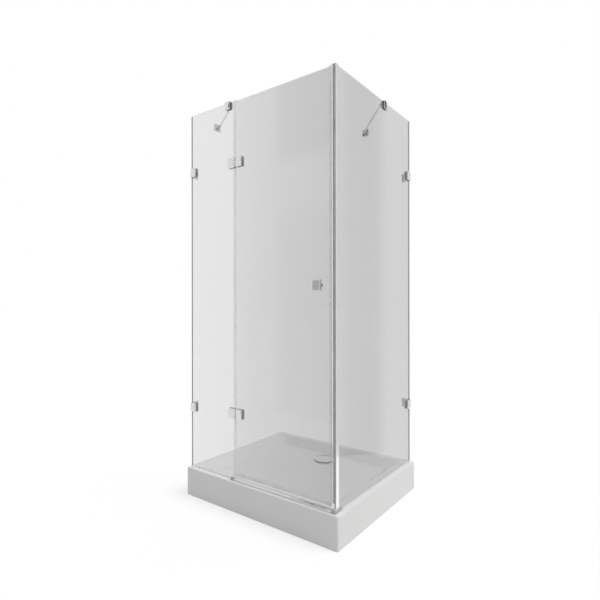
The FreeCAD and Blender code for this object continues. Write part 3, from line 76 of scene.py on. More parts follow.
class Wire:
    """One output of a shader graph, usable in Python expressions."""

    def __init__(self, graph: "Graph", socket: bpy.types.NodeSocket) -> None:
        """Remember the graph and the socket."""
        self.graph = graph
        self.socket = socket

    def _math(self, operation: str, *values: "Value") -> "Wire":
        """Add one Math node and return its result."""
        node = self.graph.node("ShaderNodeMath", {"operation": operation},
                               dict(enumerate(values)))
        return node["Value"]

    def __add__(self, other: "Value") -> "Wire":
        """Return self + other."""
        return self._math("ADD", self, other)

    __radd__ = __add__

    def __mul__(self, other: "Value") -> "Wire":
        """Return self * other."""
        return self._math("MULTIPLY", self, other)

    __rmul__ = __mul__

    def __sub__(self, other: "Value") -> "Wire":
        """Return self - other."""
        return self._math("SUBTRACT", self, other)

    def __rsub__(self, other: "Value") -> "Wire":
        """Return other - self."""
        return self._math("SUBTRACT", other, self)

    def __pow__(self, power: float) -> "Wire":
        """Return self raised to a power."""
        return self._math("POWER", self, power)

    def __abs__(self) -> "Wire":
        """Return the size of self without its sign."""
        return self._math("ABSOLUTE", self)

    def most(self, other: "Value") -> "Wire":
        """Return the larger of self and other."""
        return self._math("MAXIMUM", self, other)

    def ramp(self, low: float, high: float, to_low: float = 0.0, to_high: float = 1.0,
             fade: Fade = Fade.SOFT) -> "Wire":
        """Map self from one range to another, held at both ends.

        Args:
            low: Value that becomes to_low.
            high: Value that becomes to_high.
            to_low: Result at low.
            to_high: Result at high.
            fade: Whether the run is soft at its ends or even.

        Returns:
            The mapped value.
        """
        node = self.graph.node(
            "ShaderNodeMapRange", {"interpolation_type": fade.value, "clamp": True},
            {"Value": self, "From Min": low, "From Max": high,
             "To Min": to_low, "To Max": to_high})
        return node["Result"]


Value = Union[Wire, float, int, tuple]


class Outputs:
    """The outputs of one node, looked up by name."""

    def __init__(self, graph: "Graph", node: bpy.types.Node) -> None:
        """Remember the graph and the node."""
        self.graph = graph
        self.node = node

    def __getitem__(self, name: str) -> Wire:
        """Return the output with this name or identifier that is in use."""
        for socket in self.node.outputs:
            if socket.enabled and name in (socket.name, socket.identifier):
                return Wire(self.graph, socket)
        raise KeyError(name)


class Graph:
    """A material's or the world's node tree, built through one method."""

    def __init__(self, tree: bpy.types.NodeTree) -> None:
        """Start with an empty tree."""
        self.tree = tree
        tree.nodes.clear()

    def node(self, kind: str, settings: Optional[dict] = None,
             sockets: Optional[dict] = None) -> Outputs:
        """Add a node, set it up and feed its sockets.

        Args:
            kind: Blender's node type.
            settings: Properties, set before any socket.
            sockets: Values or wires by input name, identifier or index.

        Returns:
            The node's outputs.
        """
        node = self.tree.nodes.new(kind)
        for name, value in (settings or {}).items():
            setattr(node, name, value)
        for key, value in (sockets or {}).items():
            socket = self._input(node, key)
            if isinstance(value, Wire):
                self.tree.links.new(value.socket, socket)
            elif socket.type == "RGBA" and len(value) == 3:
                socket.default_value = (*value, 1.0)
            else:
                socket.default_value = value
        return Outputs(self, node)

    @staticmethod
    def _input(node: bpy.types.Node, key: Union[str, int]) -> bpy.types.NodeSocket:
        """Return an input by index, or by name or identifier among those in use."""
        if isinstance(key, int):
            return node.inputs[key]
        for socket in node.inputs:
            if socket.enabled and key in (socket.name, socket.identifier):
                return socket
        raise KeyError(key)

    def place(self, stretch: Colour = (1.0, 1.0, 1.0)) -> Wire:
        """Return Object coordinates, stretched per axis."""
        where = self.node("ShaderNodeTexCoord")["Object"]
        if stretch == (1.0, 1.0, 1.0):
            return where
        return self.node("ShaderNodeVectorMath", {"operation": "MULTIPLY"},
                         {0: where, 1: stretch})["Vector"]

    def axes(self) -> tuple[Wire, Wire, Wire]:
        """Return the Object coordinates as three numbers."""
        split = self.node("ShaderNodeSeparateXYZ", {}, {"Vector": self.place()})
        return split["X"], split["Y"], split["Z"]

    def noise(self, scale: float, detail: float = 3.0, rough: float = 0.5,
              stretch: Colour = (1.0, 1.0, 1.0)) -> Wire:
        """Return fractal noise on Object coordinates, about 0.3 to 0.7."""
        return self.node("ShaderNodeTexNoise", {"noise_dimensions": "3D"},
                         {"Vector": self.place(stretch), "Scale": scale, "Detail": detail,
                          "Roughness": rough})["Fac"]

    def blend(self, amount: Value, low: Union[Wire, Colour], high: Union[Wire, Colour]) -> Wire:
        """Mix two colours by an amount."""
        return self.node("ShaderNodeMix", {"data_type": "RGBA"},
                         {"Factor_Float": amount, "A_Color": low, "B_Color": high})["Result_Color"]

    def bump(self, height: Wire, strength: float, depth: float) -> Wire:
        """Return a normal tilted by a height field of the given depth in metres."""
        return self.node("ShaderNodeBump", {}, {"Height": height, "Strength": strength,
                                                "Distance": depth})["Normal"]

    def principled(self, **sockets: Value) -> Wire:
        """Add a Principled shader; a socket's name is written with underscores."""
        named = {key.replace("_", " "): value for key, value in sockets.items()}
        return self.node("ShaderNodeBsdfPrincipled", {}, named)["BSDF"]

    def surface(self, shader: Wire, kind: str = "ShaderNodeOutputMaterial") -> None:
        """Send a shader to the output."""
        self.node(kind, {}, {"Surface": shader})


# ---------------------------------------------------------------- finishes

@dataclass(frozen=True)
class Finish:
    """A finish with a name; each kind draws its own graph."""

    name: str

    def material(self) -> bpy.types.Material:
        """Return the finish's material, made once."""
        found = bpy.data.materials.get(self.name)
        if found is not None:
            return found
        made = bpy.data.materials.new(self.name)
        made.use_nodes = True
        graph = Graph(made.node_tree)
        graph.surface(self.shader(graph))
        return made

    def shader(self, graph: Graph) -> Wire:
        """Draw the finish."""
        raise NotImplementedError


@dataclass(frozen=True)
class Acrylic(Finish):
    """Glossy sanitary acrylic with a soft ripple and faint wipe marks."""

    colour: Colour = (0.92, 0.917, 0.91)
    roughness: float = 0.16

    def shader(self, graph: Graph) -> Wire:
        """Draw pale acrylic, a touch warmer and duller in slow patches."""
        drift = graph.noise(3.0, 2.0)
        ripple = graph.noise(55.0, 2.0)
        wipes = graph.noise(9.0, 5.0, 0.6, (1.0, 3.5, 1.0))
        darker = tuple(c * k for c, k in zip(self.colour, (0.975, 0.98, 0.985)))
        return graph.principled(
            Base_Color=graph.blend(drift.ramp(0.35, 0.65), darker, self.colour),
            Roughness=wipes.ramp(0.35, 0.7, self.roughness - 0.04, self.roughness + 0.08),
            IOR=1.49, Coat_Weight=0.35, Coat_Roughness=0.06,
            Normal=graph.bump(ripple, 0.06, 0.0006))


@dataclass(frozen=True)
class Pane(Finish):
    """Clear grey-tinted glass; a painted reflection sets its tone per panel and runs it across the
    panel.
    """

    axis: int = 0
    start: float = 0.0
    end: float = 1.0
    # Alpha at the panel's two ends: the glass's own tint plus a painted reflection of the
    # surroundings, set per panel.
    tint_and_reflection_start: float = 0.1
    tint_and_reflection_end: float = 0.1
    tint: Colour = (0.20, 0.215, 0.21)

    def shader(self, graph: Graph) -> Wire:
        """Draw a thin see-through body under a clear gloss on its outer faces."""
        # Painted reflection: the tone runs evenly from one end of the panel to the other.
        across = graph.axes()[self.axis].ramp(self.start, self.end, fade=Fade.EVEN)
        drift = graph.noise(1.6, 1.0, 0.5, (1.0, 1.0, 0.25)).ramp(0.3, 0.7, -0.006, 0.006)
        tone = self.tint_and_reflection_start + across * (self.tint_and_reflection_end - self.tint_and_reflection_start) + drift
        spots = graph.noise(160.0, 4.0, 0.6)
        lighter = tuple(min(1.0, c * 1.15) for c in self.tint)
        body = graph.principled(
            Base_Color=graph.blend(spots.ramp(0.35, 0.7), self.tint, lighter), Alpha=tone,
            Roughness=spots.ramp(0.4, 0.75, 0.03, 0.08), IOR=1.5,
            Specular_IOR_Level=0.25)
        gloss = graph.node("ShaderNodeBsdfGlossy", {}, {"Color": (1.0, 1.0, 1.0),
                                                        "Roughness": 0.02})["BSDF"]
        facing = graph.node("ShaderNodeLayerWeight", {}, {"Blend": 0.5})["Facing"]
        outside = 1.0 - graph.node("ShaderNodeNewGeometry")["Backfacing"]
        share = (facing ** 5.0 * 0.6 + 0.03) * outside
        return graph.node("ShaderNodeMixShader", {}, {0: share, 1: body, 2: gloss})["Shader"]


@dataclass(frozen=True)
class PaneEdge(Finish):
    """The ground edge of the glass, where its green shows."""

    colour: Colour = (0.10, 0.13, 0.12)
    alpha: float = 0.85

    def shader(self, graph: Graph) -> Wire:
        """Draw a satin, darker edge with fine grinding marks."""
        grind = graph.noise(900.0, 2.0, 0.5)
        slow = graph.noise(2.5, 1.0)
        lighter = tuple(min(1.0, c * 1.8) for c in self.colour)
        return graph.principled(
            Base_Color=graph.blend(slow.ramp(0.35, 0.7), self.colour, lighter),
            Alpha=self.alpha, Roughness=grind.ramp(0.3, 0.7, 0.18, 0.36),
            Normal=graph.bump(grind, 0.1, 0.0001))


@dataclass(frozen=True)
class Metal(Finish):
    """Polished or brushed metal with faint smudges."""

    colour: Colour = (0.86, 0.865, 0.87)
    roughness: float = 0.07
    brushed: float = 0.0

    def shader(self, graph: Graph) -> Wire:
        """Draw the metal; smudges and hairlines only change the roughness and the normal."""
        smudge = graph.noise(120.0, 4.0, 0.55)
        lines = graph.noise(1400.0, 2.0, 0.6, (1.0, 1.0, 0.04))
        rough = smudge.ramp(0.35, 0.7, self.roughness * 0.7, self.roughness * 1.7)
        dull = tuple(c * 0.9 for c in self.colour)
        return graph.principled(
            Base_Color=graph.blend(smudge.ramp(0.4, 0.75), self.colour, dull),
            Metallic=1.0, Roughness=rough + lines.ramp(0.4, 0.6, 0.0, 0.15 * self.brushed),
            Normal=graph.bump(lines, 0.02 + 0.12 * self.brushed, 0.0001))


@dataclass(frozen=True)
class Plastic(Finish):
    """Moulded or extruded plastic; extruded ones show drawn lines along Z or X."""

    colour: Colour = (0.6, 0.6, 0.6)
    roughness: float = 0.45
    alpha: float = 1.0
    stretch: Colour = (1.0, 1.0, 1.0)
    grain: float = 700.0

    def shader(self, graph: Graph) -> Wire:
        """Draw a fine moulded grain, or drawn lines where it is stretched."""
        grain = graph.noise(self.grain, 2.0, 0.55, self.stretch)
        cloud = graph.noise(22.0, 3.0)
        darker = tuple(c * 0.88 for c in self.colour)
        return graph.principled(
            Base_Color=graph.blend(cloud.ramp(0.35, 0.7), self.colour, darker),
            Alpha=self.alpha, Roughness=grain.ramp(0.35, 0.7, self.roughness - 0.05,
                                                   self.roughness + 0.1),
            Normal=graph.bump(grain, 0.15, 0.0002))


@dataclass(frozen=True)
class ChipBoard(Finish):
    """Raw particle board: pressed chips of several browns."""

    def shader(self, graph: Graph) -> Wire:
        """Draw the chips from cells, with darker glue between them."""
        cells = graph.node("ShaderNodeTexVoronoi", {"feature": "F1"},
                           {"Vector": graph.place((1.0, 1.6, 1.0)), "Scale": 150.0})
        tone = graph.node("ShaderNodeSeparateColor", {}, {"Color": cells["Color"]})["Red"]
        fine = graph.noise(420.0, 4.0, 0.65)
        browns = graph.blend(tone, (0.36, 0.25, 0.14), (0.66, 0.5, 0.32))
        return graph.principled(
            Base_Color=graph.blend(fine.ramp(0.5, 0.75), browns, (0.28, 0.19, 0.11)),
            Roughness=0.85, Normal=graph.bump(fine + cells["Distance"] * 0.6, 0.5, 0.0006))


ACRYLIC = Acrylic("white acrylic")
CHROME = Metal("polished chrome", (0.69, 0.695, 0.70))
COVER_CHROME = Metal("waste cover chrome", (0.76, 0.765, 0.77), 0.1)
# Bright metal for the side seal's outer leg: a painted highlight, not the seal's own colour.
SEAL_PAINTED_HIGHLIGHT = Metal("bright seal edge", (0.92, 0.925, 0.92), 0.12)
STEEL = Metal("bright steel", (0.62, 0.63, 0.64), 0.2, 0.6)
ALUMINIUM = Metal("bright aluminium", (0.62, 0.63, 0.625), 0.16, 0.35)
CLEAR_VINYL = Plastic("clear vinyl", (0.80, 0.81, 0.80), 0.2, 0.18, (1.0, 1.0, 0.02), 1500.0)
SWEEP_VINYL = Plastic("sweep vinyl", (0.82, 0.83, 0.82), 0.2, 0.18, (0.02, 1.0, 1.0), 1500.0)
GASKET = Plastic("grey gasket", (0.58, 0.6, 0.6), 0.5, 0.85)
RUBBER = Plastic("black rubber", (0.03, 0.03, 0.031), 0.6)
BLACK_NYLON = Plastic("black nylon", (0.035, 0.035, 0.037), 0.5)
GREY_PLASTIC = Plastic("grey polypropylene", (0.42, 0.43, 0.44), 0.42)
WHITE_ACETAL = Plastic("white acetal", (0.8, 0.8, 0.77), 0.35)
MAGNET = Plastic("white magnet strip", (0.78, 0.78, 0.76), 0.5, 1.0, (1.0, 1.0, 0.02), 900.0)
CAP_GREY = Plastic("grey end cap", (0.5, 0.51, 0.52), 0.35)
BOARD = ChipBoard("particle board")
WALL_EDGE = PaneEdge("glass edge at a wall")
OPEN_EDGE = PaneEdge("open glass edge", (0.62, 0.68, 0.65), 0.25)
FINISH_OF_SLOT = {
    "tray_acrylic": ACRYLIC, "board_wood": BOARD, "moulded_black": BLACK_NYLON,
    "moulded_grey": GREY_PLASTIC, "acetal_white": WHITE_ACETAL, "seal_rubber": RUBBER,
    "gasket_clear": GASKET, "polished_chrome": CHROME, "waste_chrome": COVER_CHROME,
    "plain_steel": STEEL, "seal_vinyl": CLEAR_VINYL, "magnet_white": MAGNET,
    "threshold_aluminium": ALUMINIUM, "cap_grey": CAP_GREY,
}
SLOT_OF_NODE = {part["node"]: part["material_slot"] for part in frame["record"]["subparts"]}


# ---------------------------------------------------------------- meshes

def mark_sharp(mesh: bmesh.types.BMesh, angle: float = 32.0) -> None:
    """Shade smoothly, with every edge sharp that turns by more than an angle in degrees."""
    for face in mesh.faces:
        face.smooth = True
    for edge in mesh.edges:
        edge.smooth = len(edge.link_faces) == 2 and edge.calc_face_angle(pi) < radians(angle)


def in_order(mesh: bmesh.types.BMesh) -> None:
    """Order edges and faces by their vertices; extruding leaves a new order each run."""
    mesh.verts.index_update()
    for parts in (mesh.edges, mesh.faces):
        ranked = sorted(parts, key=lambda part: sorted(vert.index for vert in part.verts))
        for index, part in enumerate(ranked):
            part.index = index
        parts.sort()


def finished(name: str, mesh: bmesh.types.BMesh, finishes: Iterable[Finish], body: str,
             slot: str, *nodes: str) -> bpy.types.Object:
    """Make a piece from a mesh, attach it to its body and hide the nodes that it stands for.

    Args:
        name: The piece's name.
        mesh: Its mesh in metres; freed here.
        finishes: One finish per material index.
        body: The CAD body that it rides on.
        slot: The record's material slot; not used.
        *nodes: CAD nodes that it stands for.

    Returns:
        The new object.
    """
    data = bpy.data.meshes.new(name)
    mesh.to_mesh(data)
    mesh.free()
    for finish in finishes:
        data.materials.append(finish.material())
    piece = bpy.data.objects.new(name, data)
    bpy.context.scene.collection.objects.link(piece)
    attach(piece, body)
    if nodes:
        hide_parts(*nodes)
    log.info("%s: %d faces on %s", name, len(data.polygons), body)
    return piece


def merged(node: str) -> bmesh.types.BMesh:
    """Return a clean, merged copy of a CAD node's mesh."""
    mesh = bmesh.new()
    mesh.from_mesh(frame["nodes"][node].data)
    bmesh.ops.remove_doubles(mesh, verts=mesh.verts, dist=2e-6)
    bmesh.ops.dissolve_limit(mesh, angle_limit=radians(0.6), verts=mesh.verts,
                             edges=mesh.edges)
    return mesh


def refine(node: str, finish: Optional[Finish] = None, soften: float = 0.0) -> bpy.types.Object:
    """Replace a CAD node by a smooth copy, its sharp edges broken by a fine bevel.

    Args:
        node: The CAD node.
        finish: Its finish, or None for the one of its slot.
        soften: Width of the broken edges in mm.

    Returns:
        The new piece.
    """
    mesh = merged(node)
    if soften:
        sharp = [edge for edge in mesh.edges
                 if len(edge.link_faces) == 2 and edge.calc_face_angle(0.0) > radians(32)]
        bmesh.ops.bevel(mesh, geom=sharp, offset=soften * MM, segments=2, profile=0.5,
                        affect="EDGES", clamp_overlap=True, material=-1)
        bmesh.ops.remove_doubles(mesh, verts=mesh.verts, dist=2e-6)
    mark_sharp(mesh, 38.0 if soften else 32.0)
    slot = SLOT_OF_NODE[node]
    return finished(f"{node}_shown", mesh, [finish or FINISH_OF_SLOT[slot]],
                    frame["nodes"][node]["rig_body"], slot, node)


def dress_node(node: str, finish: Optional[Finish] = None) -> None:
    """Give a CAD node that stays its finish."""
    data = frame["nodes"][node].data
    made = (finish or FINISH_OF_SLOT[SLOT_OF_NODE[node]]).material()
    if data.materials:
        for index in range(len(data.materials)):
            data.materials[index] = made
    else:
        data.materials.append(made)


@dataclass(frozen=True)
class Outline:
    """A level rectangle with rounded corners, in mm."""

    x: tuple[float, float]
    y: tuple[float, float]
    z: float
    radius: float

    def arc_centre(self, right: bool, back: bool) -> Vector:
        """Return the centre of one corner's arc, in metres."""
        return Vector((self.x[right] + self.radius * (-1 if right else 1),
                       self.y[back] + self.radius * (-1 if back else 1), self.z)) * MM

    def drawn(self, mesh: bmesh.types.BMesh, segments: int) -> list[bmesh.types.BMEdge]:
        """Add the outline to an empty mesh.

        Args:
            mesh: Mesh that takes the outline.
            segments: Segments per corner.

        Returns:
            The outline's edges.
        """
        place = Matrix.LocRotScale(
            Vector((sum(self.x) / 2, sum(self.y) / 2, self.z)) * MM, None,
            Vector((self.x[1] - self.x[0], self.y[1] - self.y[0], 1.0)) * MM)
        bmesh.ops.create_grid(mesh, x_segments=1, y_segments=1, size=0.5, matrix=place)
        bmesh.ops.bevel(mesh, geom=list(mesh.verts), offset=self.radius * MM,
                        segments=segments, profile=0.5, affect="VERTICES", material=-1)
        bmesh.ops.delete(mesh, geom=list(mesh.faces), context="FACES_ONLY")
        return list(mesh.edges)

    def extruded(self, mesh: bmesh.types.BMesh, edges: list[bmesh.types.BMEdge],
                 end: "Outline") -> list[bmesh.types.BMEdge]:
        """Extrude this outline to another one, corner arc to corner arc.

        Args:
            mesh: The mesh that holds the outline.
            edges: This outline's edges.
            end: The outline to reach.

        Returns:
            The new outline's edges.
        """
        made = bmesh.ops.extrude_edge_only(mesh, edges=edges)["geom"]
        verts = {part for part in made if isinstance(part, bmesh.types.BMVert)}
        middle = Vector((sum(self.x), sum(self.y))) / 2 * MM
        for vert in verts:
            corner = vert.co.x > middle.x, vert.co.y > middle.y
            out = (vert.co - self.arc_centre(*corner)) / self.radius
            vert.co = end.arc_centre(*corner) + out * end.radius
        return [edge for edge in mesh.edges if set(edge.verts) <= verts]


# ---------------------------------------------------------------- tray and waste

@dataclass
class Tray:
    """The raised tray: one acrylic moulding on feet, with its waste."""

    x: tuple[float, float] = (-500.0, 500.0)
    y: tuple[float, float] = (-400.0, 400.0)
    top: float = 150.0
    corner: float = 8.0
    edge: float = 5.0
    opening_x: tuple[float, float] = (-455.0, 432.0)
    opening_y: tuple[float, float] = (-336.0, 362.0)
    opening_corner: float = 30.0
    run: float = 62.0
    depth: float = 40.0
    floor_corner: float = 60.0
    foot_blend: float = 16.0
    lip_blend: float = 5.0
    wall: float = 5.0
    drain: tuple[float, float] = (0.0, 220.0)
    hole: float = 45.0
    notch: tuple[float, float] = (90.0, 95.0)
    corner_steps: int = 10
    edge_steps: int = 6
    lip_steps: int = 4
    foot_steps: int = 6
    flush: float = 1e-5

    @staticmethod
    def inset(x: tuple[float, float], y: tuple[float, float], inward: float, height: float,
              radius: float) -> Outline:
        """Return a rectangle's outline moved inwards, at a height."""
        return Outline((x[0] + inward, x[1] - inward), (y[0] + inward, y[1] - inward),
                       height, radius)

    def outlines(self) -> list[Outline]:
        """Return the outlines from the skirt's foot over the rim to the round drain hole."""
        lines = [self.inset(self.x, self.y, 0.0, 0.0, self.corner)]
        for step in range(self.edge_steps + 1):
            turn = pi / 2 * step / self.edge_steps
            inward = self.edge * (1 - cos(turn))
            lines.append(self.inset(self.x, self.y, inward,
                                    self.top - self.edge * (1 - sin(turn)),
                                    self.corner - inward))
        growth = (self.floor_corner - self.opening_corner) / self.run
        for inward, height in self.slope():
            lines.append(self.inset(self.opening_x, self.opening_y, inward, height,
                                    self.opening_corner + growth * inward))
        x, y = self.drain
        lines.append(Outline((x - self.hole, x + self.hole), (y - self.hole, y + self.hole),
                             self.top - self.depth, self.hole))
        return lines

    def slope(self) -> list[tuple[float, float]]:
        """Return (distance in from the opening, height) from the rim down to the floor."""
        turn = atan(self.depth / self.run)
        points = []
        reach = self.lip_blend * tan(turn / 2)
        for step in range(self.lip_steps + 1):
            angle = turn * step / self.lip_steps
            points.append((-reach + self.lip_blend * sin(angle),
                           self.top - self.lip_blend * (1 - cos(angle))))
        reach = self.foot_blend * tan(turn / 2)
        low = self.top - self.depth
        for step in range(self.foot_steps, -1, -1):
            angle = turn * step / self.foot_steps
            points.append((self.run + reach - self.foot_blend * sin(angle),
                           low + self.foot_blend * (1 - cos(angle))))
        return points

    def shell(self) -> bpy.types.Object:
        """Build skirt, rim, slopes and floor as one moulding with an even wall."""
        mesh = bmesh.new()
        lines = self.outlines()
        edges = lines[0].drawn(mesh, self.corner_steps)
        for line, inner in zip(lines, lines[1:]):
            edges = line.extruded(mesh, edges, inner)
        in_order(mesh)
        self.cut_notch(mesh)
        bmesh.ops.remove_doubles(mesh, verts=mesh.verts, dist=1e-6)
        bmesh.ops.recalc_face_normals(mesh, faces=mesh.faces)
        skirt = [face for face in mesh.faces if face.calc_center_median().x > 0.4999]
        if skirt and skirt[0].normal.x < 0:
            bmesh.ops.reverse_faces(mesh, faces=mesh.faces)
        mark_sharp(mesh, 40.0)
        piece = finished("tray_moulding", mesh, [ACRYLIC], "enclosure", "tray_acrylic",
                         "tray_rim", "tray_skirt", "tray_floor")
        wall = piece.modifiers.new("wall", "SOLIDIFY")
        wall.thickness = self.wall * MM
        wall.offset = -1.0
        wall.use_even_offset = True
        return piece

    def cut_notch(self, mesh: bmesh.types.BMesh) -> None:
        """Open the back skirt where the waste pipe leaves."""
        half, height = self.notch[0] / 2 * MM, self.notch[1] * MM
        back = self.y[1] * MM - self.flush
        cuts = (((-half, 0, 0), (1, 0, 0)), ((half, 0, 0), (1, 0, 0)),
                ((0, 0, height), (0, 0, 1)))
        for point, normal in cuts:
            faces = [face for face in mesh.faces
                     if all(vert.co.y > back for vert in face.verts)]
            # Each edge once, in the faces' order, so that every run cuts the same way.
            edges = list(dict.fromkeys(edge for face in faces for edge in face.edges))
            bmesh.ops.bisect_plane(mesh, geom=faces + edges, plane_co=point, plane_no=normal)
        middle = [face for face in mesh.faces
                  if abs(face.calc_center_median().x) < half
                  and face.calc_center_median().y > back
                  and face.calc_center_median().z < height]
        bmesh.ops.delete(mesh, geom=middle, context="FACES")

    def build(self) -> None:
        """Build the moulding and dress everything under and in it."""
        self.shell()
        dress_node("tray_board")
        for node in ("tray_foot_front_left", "tray_foot_front_right", "tray_foot_back_left",
                     "tray_foot_back_right", "tray_foot_middle", "foot_sockets",
                     "foot_lock_nuts", "waste_gaskets", "trap_body", "outlet_ring",
                     "outlet_nut", "trap_cup", "waste_flange"):
            refine(node)
        refine("waste_cover", COVER_CHROME)


# ---------------------------------------------------------------- glass

@dataclass
class Glass:
    """The three panels, each with its own tone and a painted reflection running across it, and
    their ground edges.
    """

    # Tone per panel and its run across the panel are painted reflection on top of the glass's own
    # tint.
    panels: dict[str, Pane] = field(default_factory=lambda: {
        "fixed_panel": Pane("fixed glass", 0, -0.492, -0.148, 0.132, 0.148),
        "door_panel": Pane("door glass", 0, -0.138, 0.450, 0.212, 0.285),
        "side_panel": Pane("side glass", 1, -0.362, 0.392, 0.262, 0.295),
    })

    wall_ends: dict[str, tuple[float, float, float]] = field(default_factory=lambda: {
        "fixed_panel": (-1.0, 0.0, 0.0), "side_panel": (0.0, 1.0, 0.0)})

    def build(self) -> None:
        """Make each panel with clear faces, pale edges and a dark end at its wall."""
        for node, pane in self.panels.items():
            mesh = merged(node)
            normal = 0 if node == "side_panel" else 1
            wall = Vector(self.wall_ends.get(node, (0.0, 0.0, 0.0)))
            for face in mesh.faces:
                if abs(face.normal[normal]) > 0.9:
                    face.material_index = 0
                else:
                    face.material_index = 1 if face.normal.dot(wall) > 0.5 else 2
            mark_sharp(mesh, 25.0)
            piece = finished(f"{node}_shown", mesh, [pane, WALL_EDGE, OPEN_EDGE],
                             frame["nodes"][node]["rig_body"], "glass_clear", node)
            piece.visible_shadow = False
            piece.visible_diffuse = False


# ---------------------------------------------------------------- fittings and seals

@dataclass
class Fittings:
    """Hinges, wall clamps, stabilisers and knob in chrome, with their small pieces."""

    softened: tuple[str, ...] = (
        "hinge_fixed_leaves", "hinge_door_leaves", "hinge_fixed_backs", "hinge_door_backs",
        "wall_bracket_left_lower", "wall_bracket_left_upper", "wall_bracket_back_lower",
        "wall_bracket_back_upper", "wall_clamp_plates", "knob", "knob_back_cap",
        "stabiliser_left_clamp", "stabiliser_right_clamp", "stabiliser_left_flange",
        "stabiliser_right_flange")
    plain: tuple[str, ...] = (
        "stabiliser_left_bar", "stabiliser_right_bar", "stabiliser_ends",
        "stabiliser_screws", "hinge_pins", "hinge_washers", "knob_stud", "knob_washers",
        "panel_screws", "door_screws", "panel_bushes", "door_bushes")
    kept: tuple[str, ...] = ("panel_gaskets", "door_gaskets", "stabiliser_pads")
    edge_break: float = 0.25

    def build(self) -> None:
        """Build every fitting."""
        for node in self.softened:
            refine(node, soften=self.edge_break)
        for node in self.plain:
            refine(node)
        for node in self.kept:
            dress_node(node)


@dataclass
class Seals:
    """The seals round the door, their magnets, the threshold and its caps."""

    upright: tuple[str, ...] = ("hinge_seal", "door_seal", "side_seal")
    magnets: tuple[str, ...] = ("door_magnet", "side_magnet")

    def build(self) -> None:
        """Build every seal and strip."""
        for node in self.upright:
            refine(node, CLEAR_VINYL)
        self.paint_side_seal_highlight()
        refine("door_sweep", SWEEP_VINYL)
        for node in self.magnets:
            dress_node(node)
        refine("threshold", soften=0.4)
        refine("threshold_caps", soften=0.4)

    @staticmethod
    def paint_side_seal_highlight() -> None:
        """Paint a highlight on the side seal's outer leg beside the door: its faces towards +X get
        a bright metal finish in place of vinyl.
        """
        data = bpy.data.objects["side_seal_shown"].data
        data.materials.append(SEAL_PAINTED_HIGHLIGHT.material())
        # Painted highlight: the outer leg's faces towards +X take the bright metal.
        for face in data.polygons:
            if face.normal.x > 0.9 and face.center.x > 0.4745:
                face.material_index = 1


# ---------------------------------------------------------------- studio

@dataclass(frozen=True)
class Flag:
    """A dark card that only reflections see, with soft edges and its own tone."""

    name: str
    centre: tuple[float, float, float]
    facing: tuple[float, float, float]
    size: tuple[float, float]
    tone: float
    edge: float

    def material(self, turn: Matrix) -> bpy.types.Material:
        """Return the card's material: a plain glow that fades out at the edges.

        Args:
            turn: The card's turn, whose first two columns are its own axes.

        Returns:
            The material.
        """
        made = bpy.data.materials.new(self.name)
        made.use_nodes = True
        graph = Graph(made.node_tree)
        cover = 1.0
        for axis, length in zip(range(2), self.size):
            direction = turn.col[axis]
            along = graph.node("ShaderNodeVectorMath", {"operation": "DOT_PRODUCT"}, {
                0: graph.place(), 1: tuple(direction)})["Value"]
            off = abs(along - Vector(self.centre).dot(direction))
            cover = off.ramp(length / 2 - self.edge, length / 2, 1.0, 0.0) * cover
        glow = graph.node("ShaderNodeEmission", {}, {"Color": (self.tone,) * 3,
                                                     "Strength": 1.0})["Emission"]
        clear = graph.node("ShaderNodeBsdfTransparent")["BSDF"]
        graph.surface(graph.node("ShaderNodeMixShader", {}, {
            0: cover, 1: clear, 2: glow})["Shader"])
        return made


FLAGS = (
    Flag("side_flag", (0.97, 0.69, 1.45), (0.72, 0.69, 0.0), (0.44, 3.6), 0.05, 0.15),
    Flag("front_flag", (-0.72, -2.0, 0.9), (0.0, -1.0, 0.0), (1.3, 2.2), 0.55, 0.2),
    Flag("high_flag", (-0.72, -2.0, 3.0), (0.0, -1.0, 0.0), (1.3, 1.4), 0.05, 0.2),
)


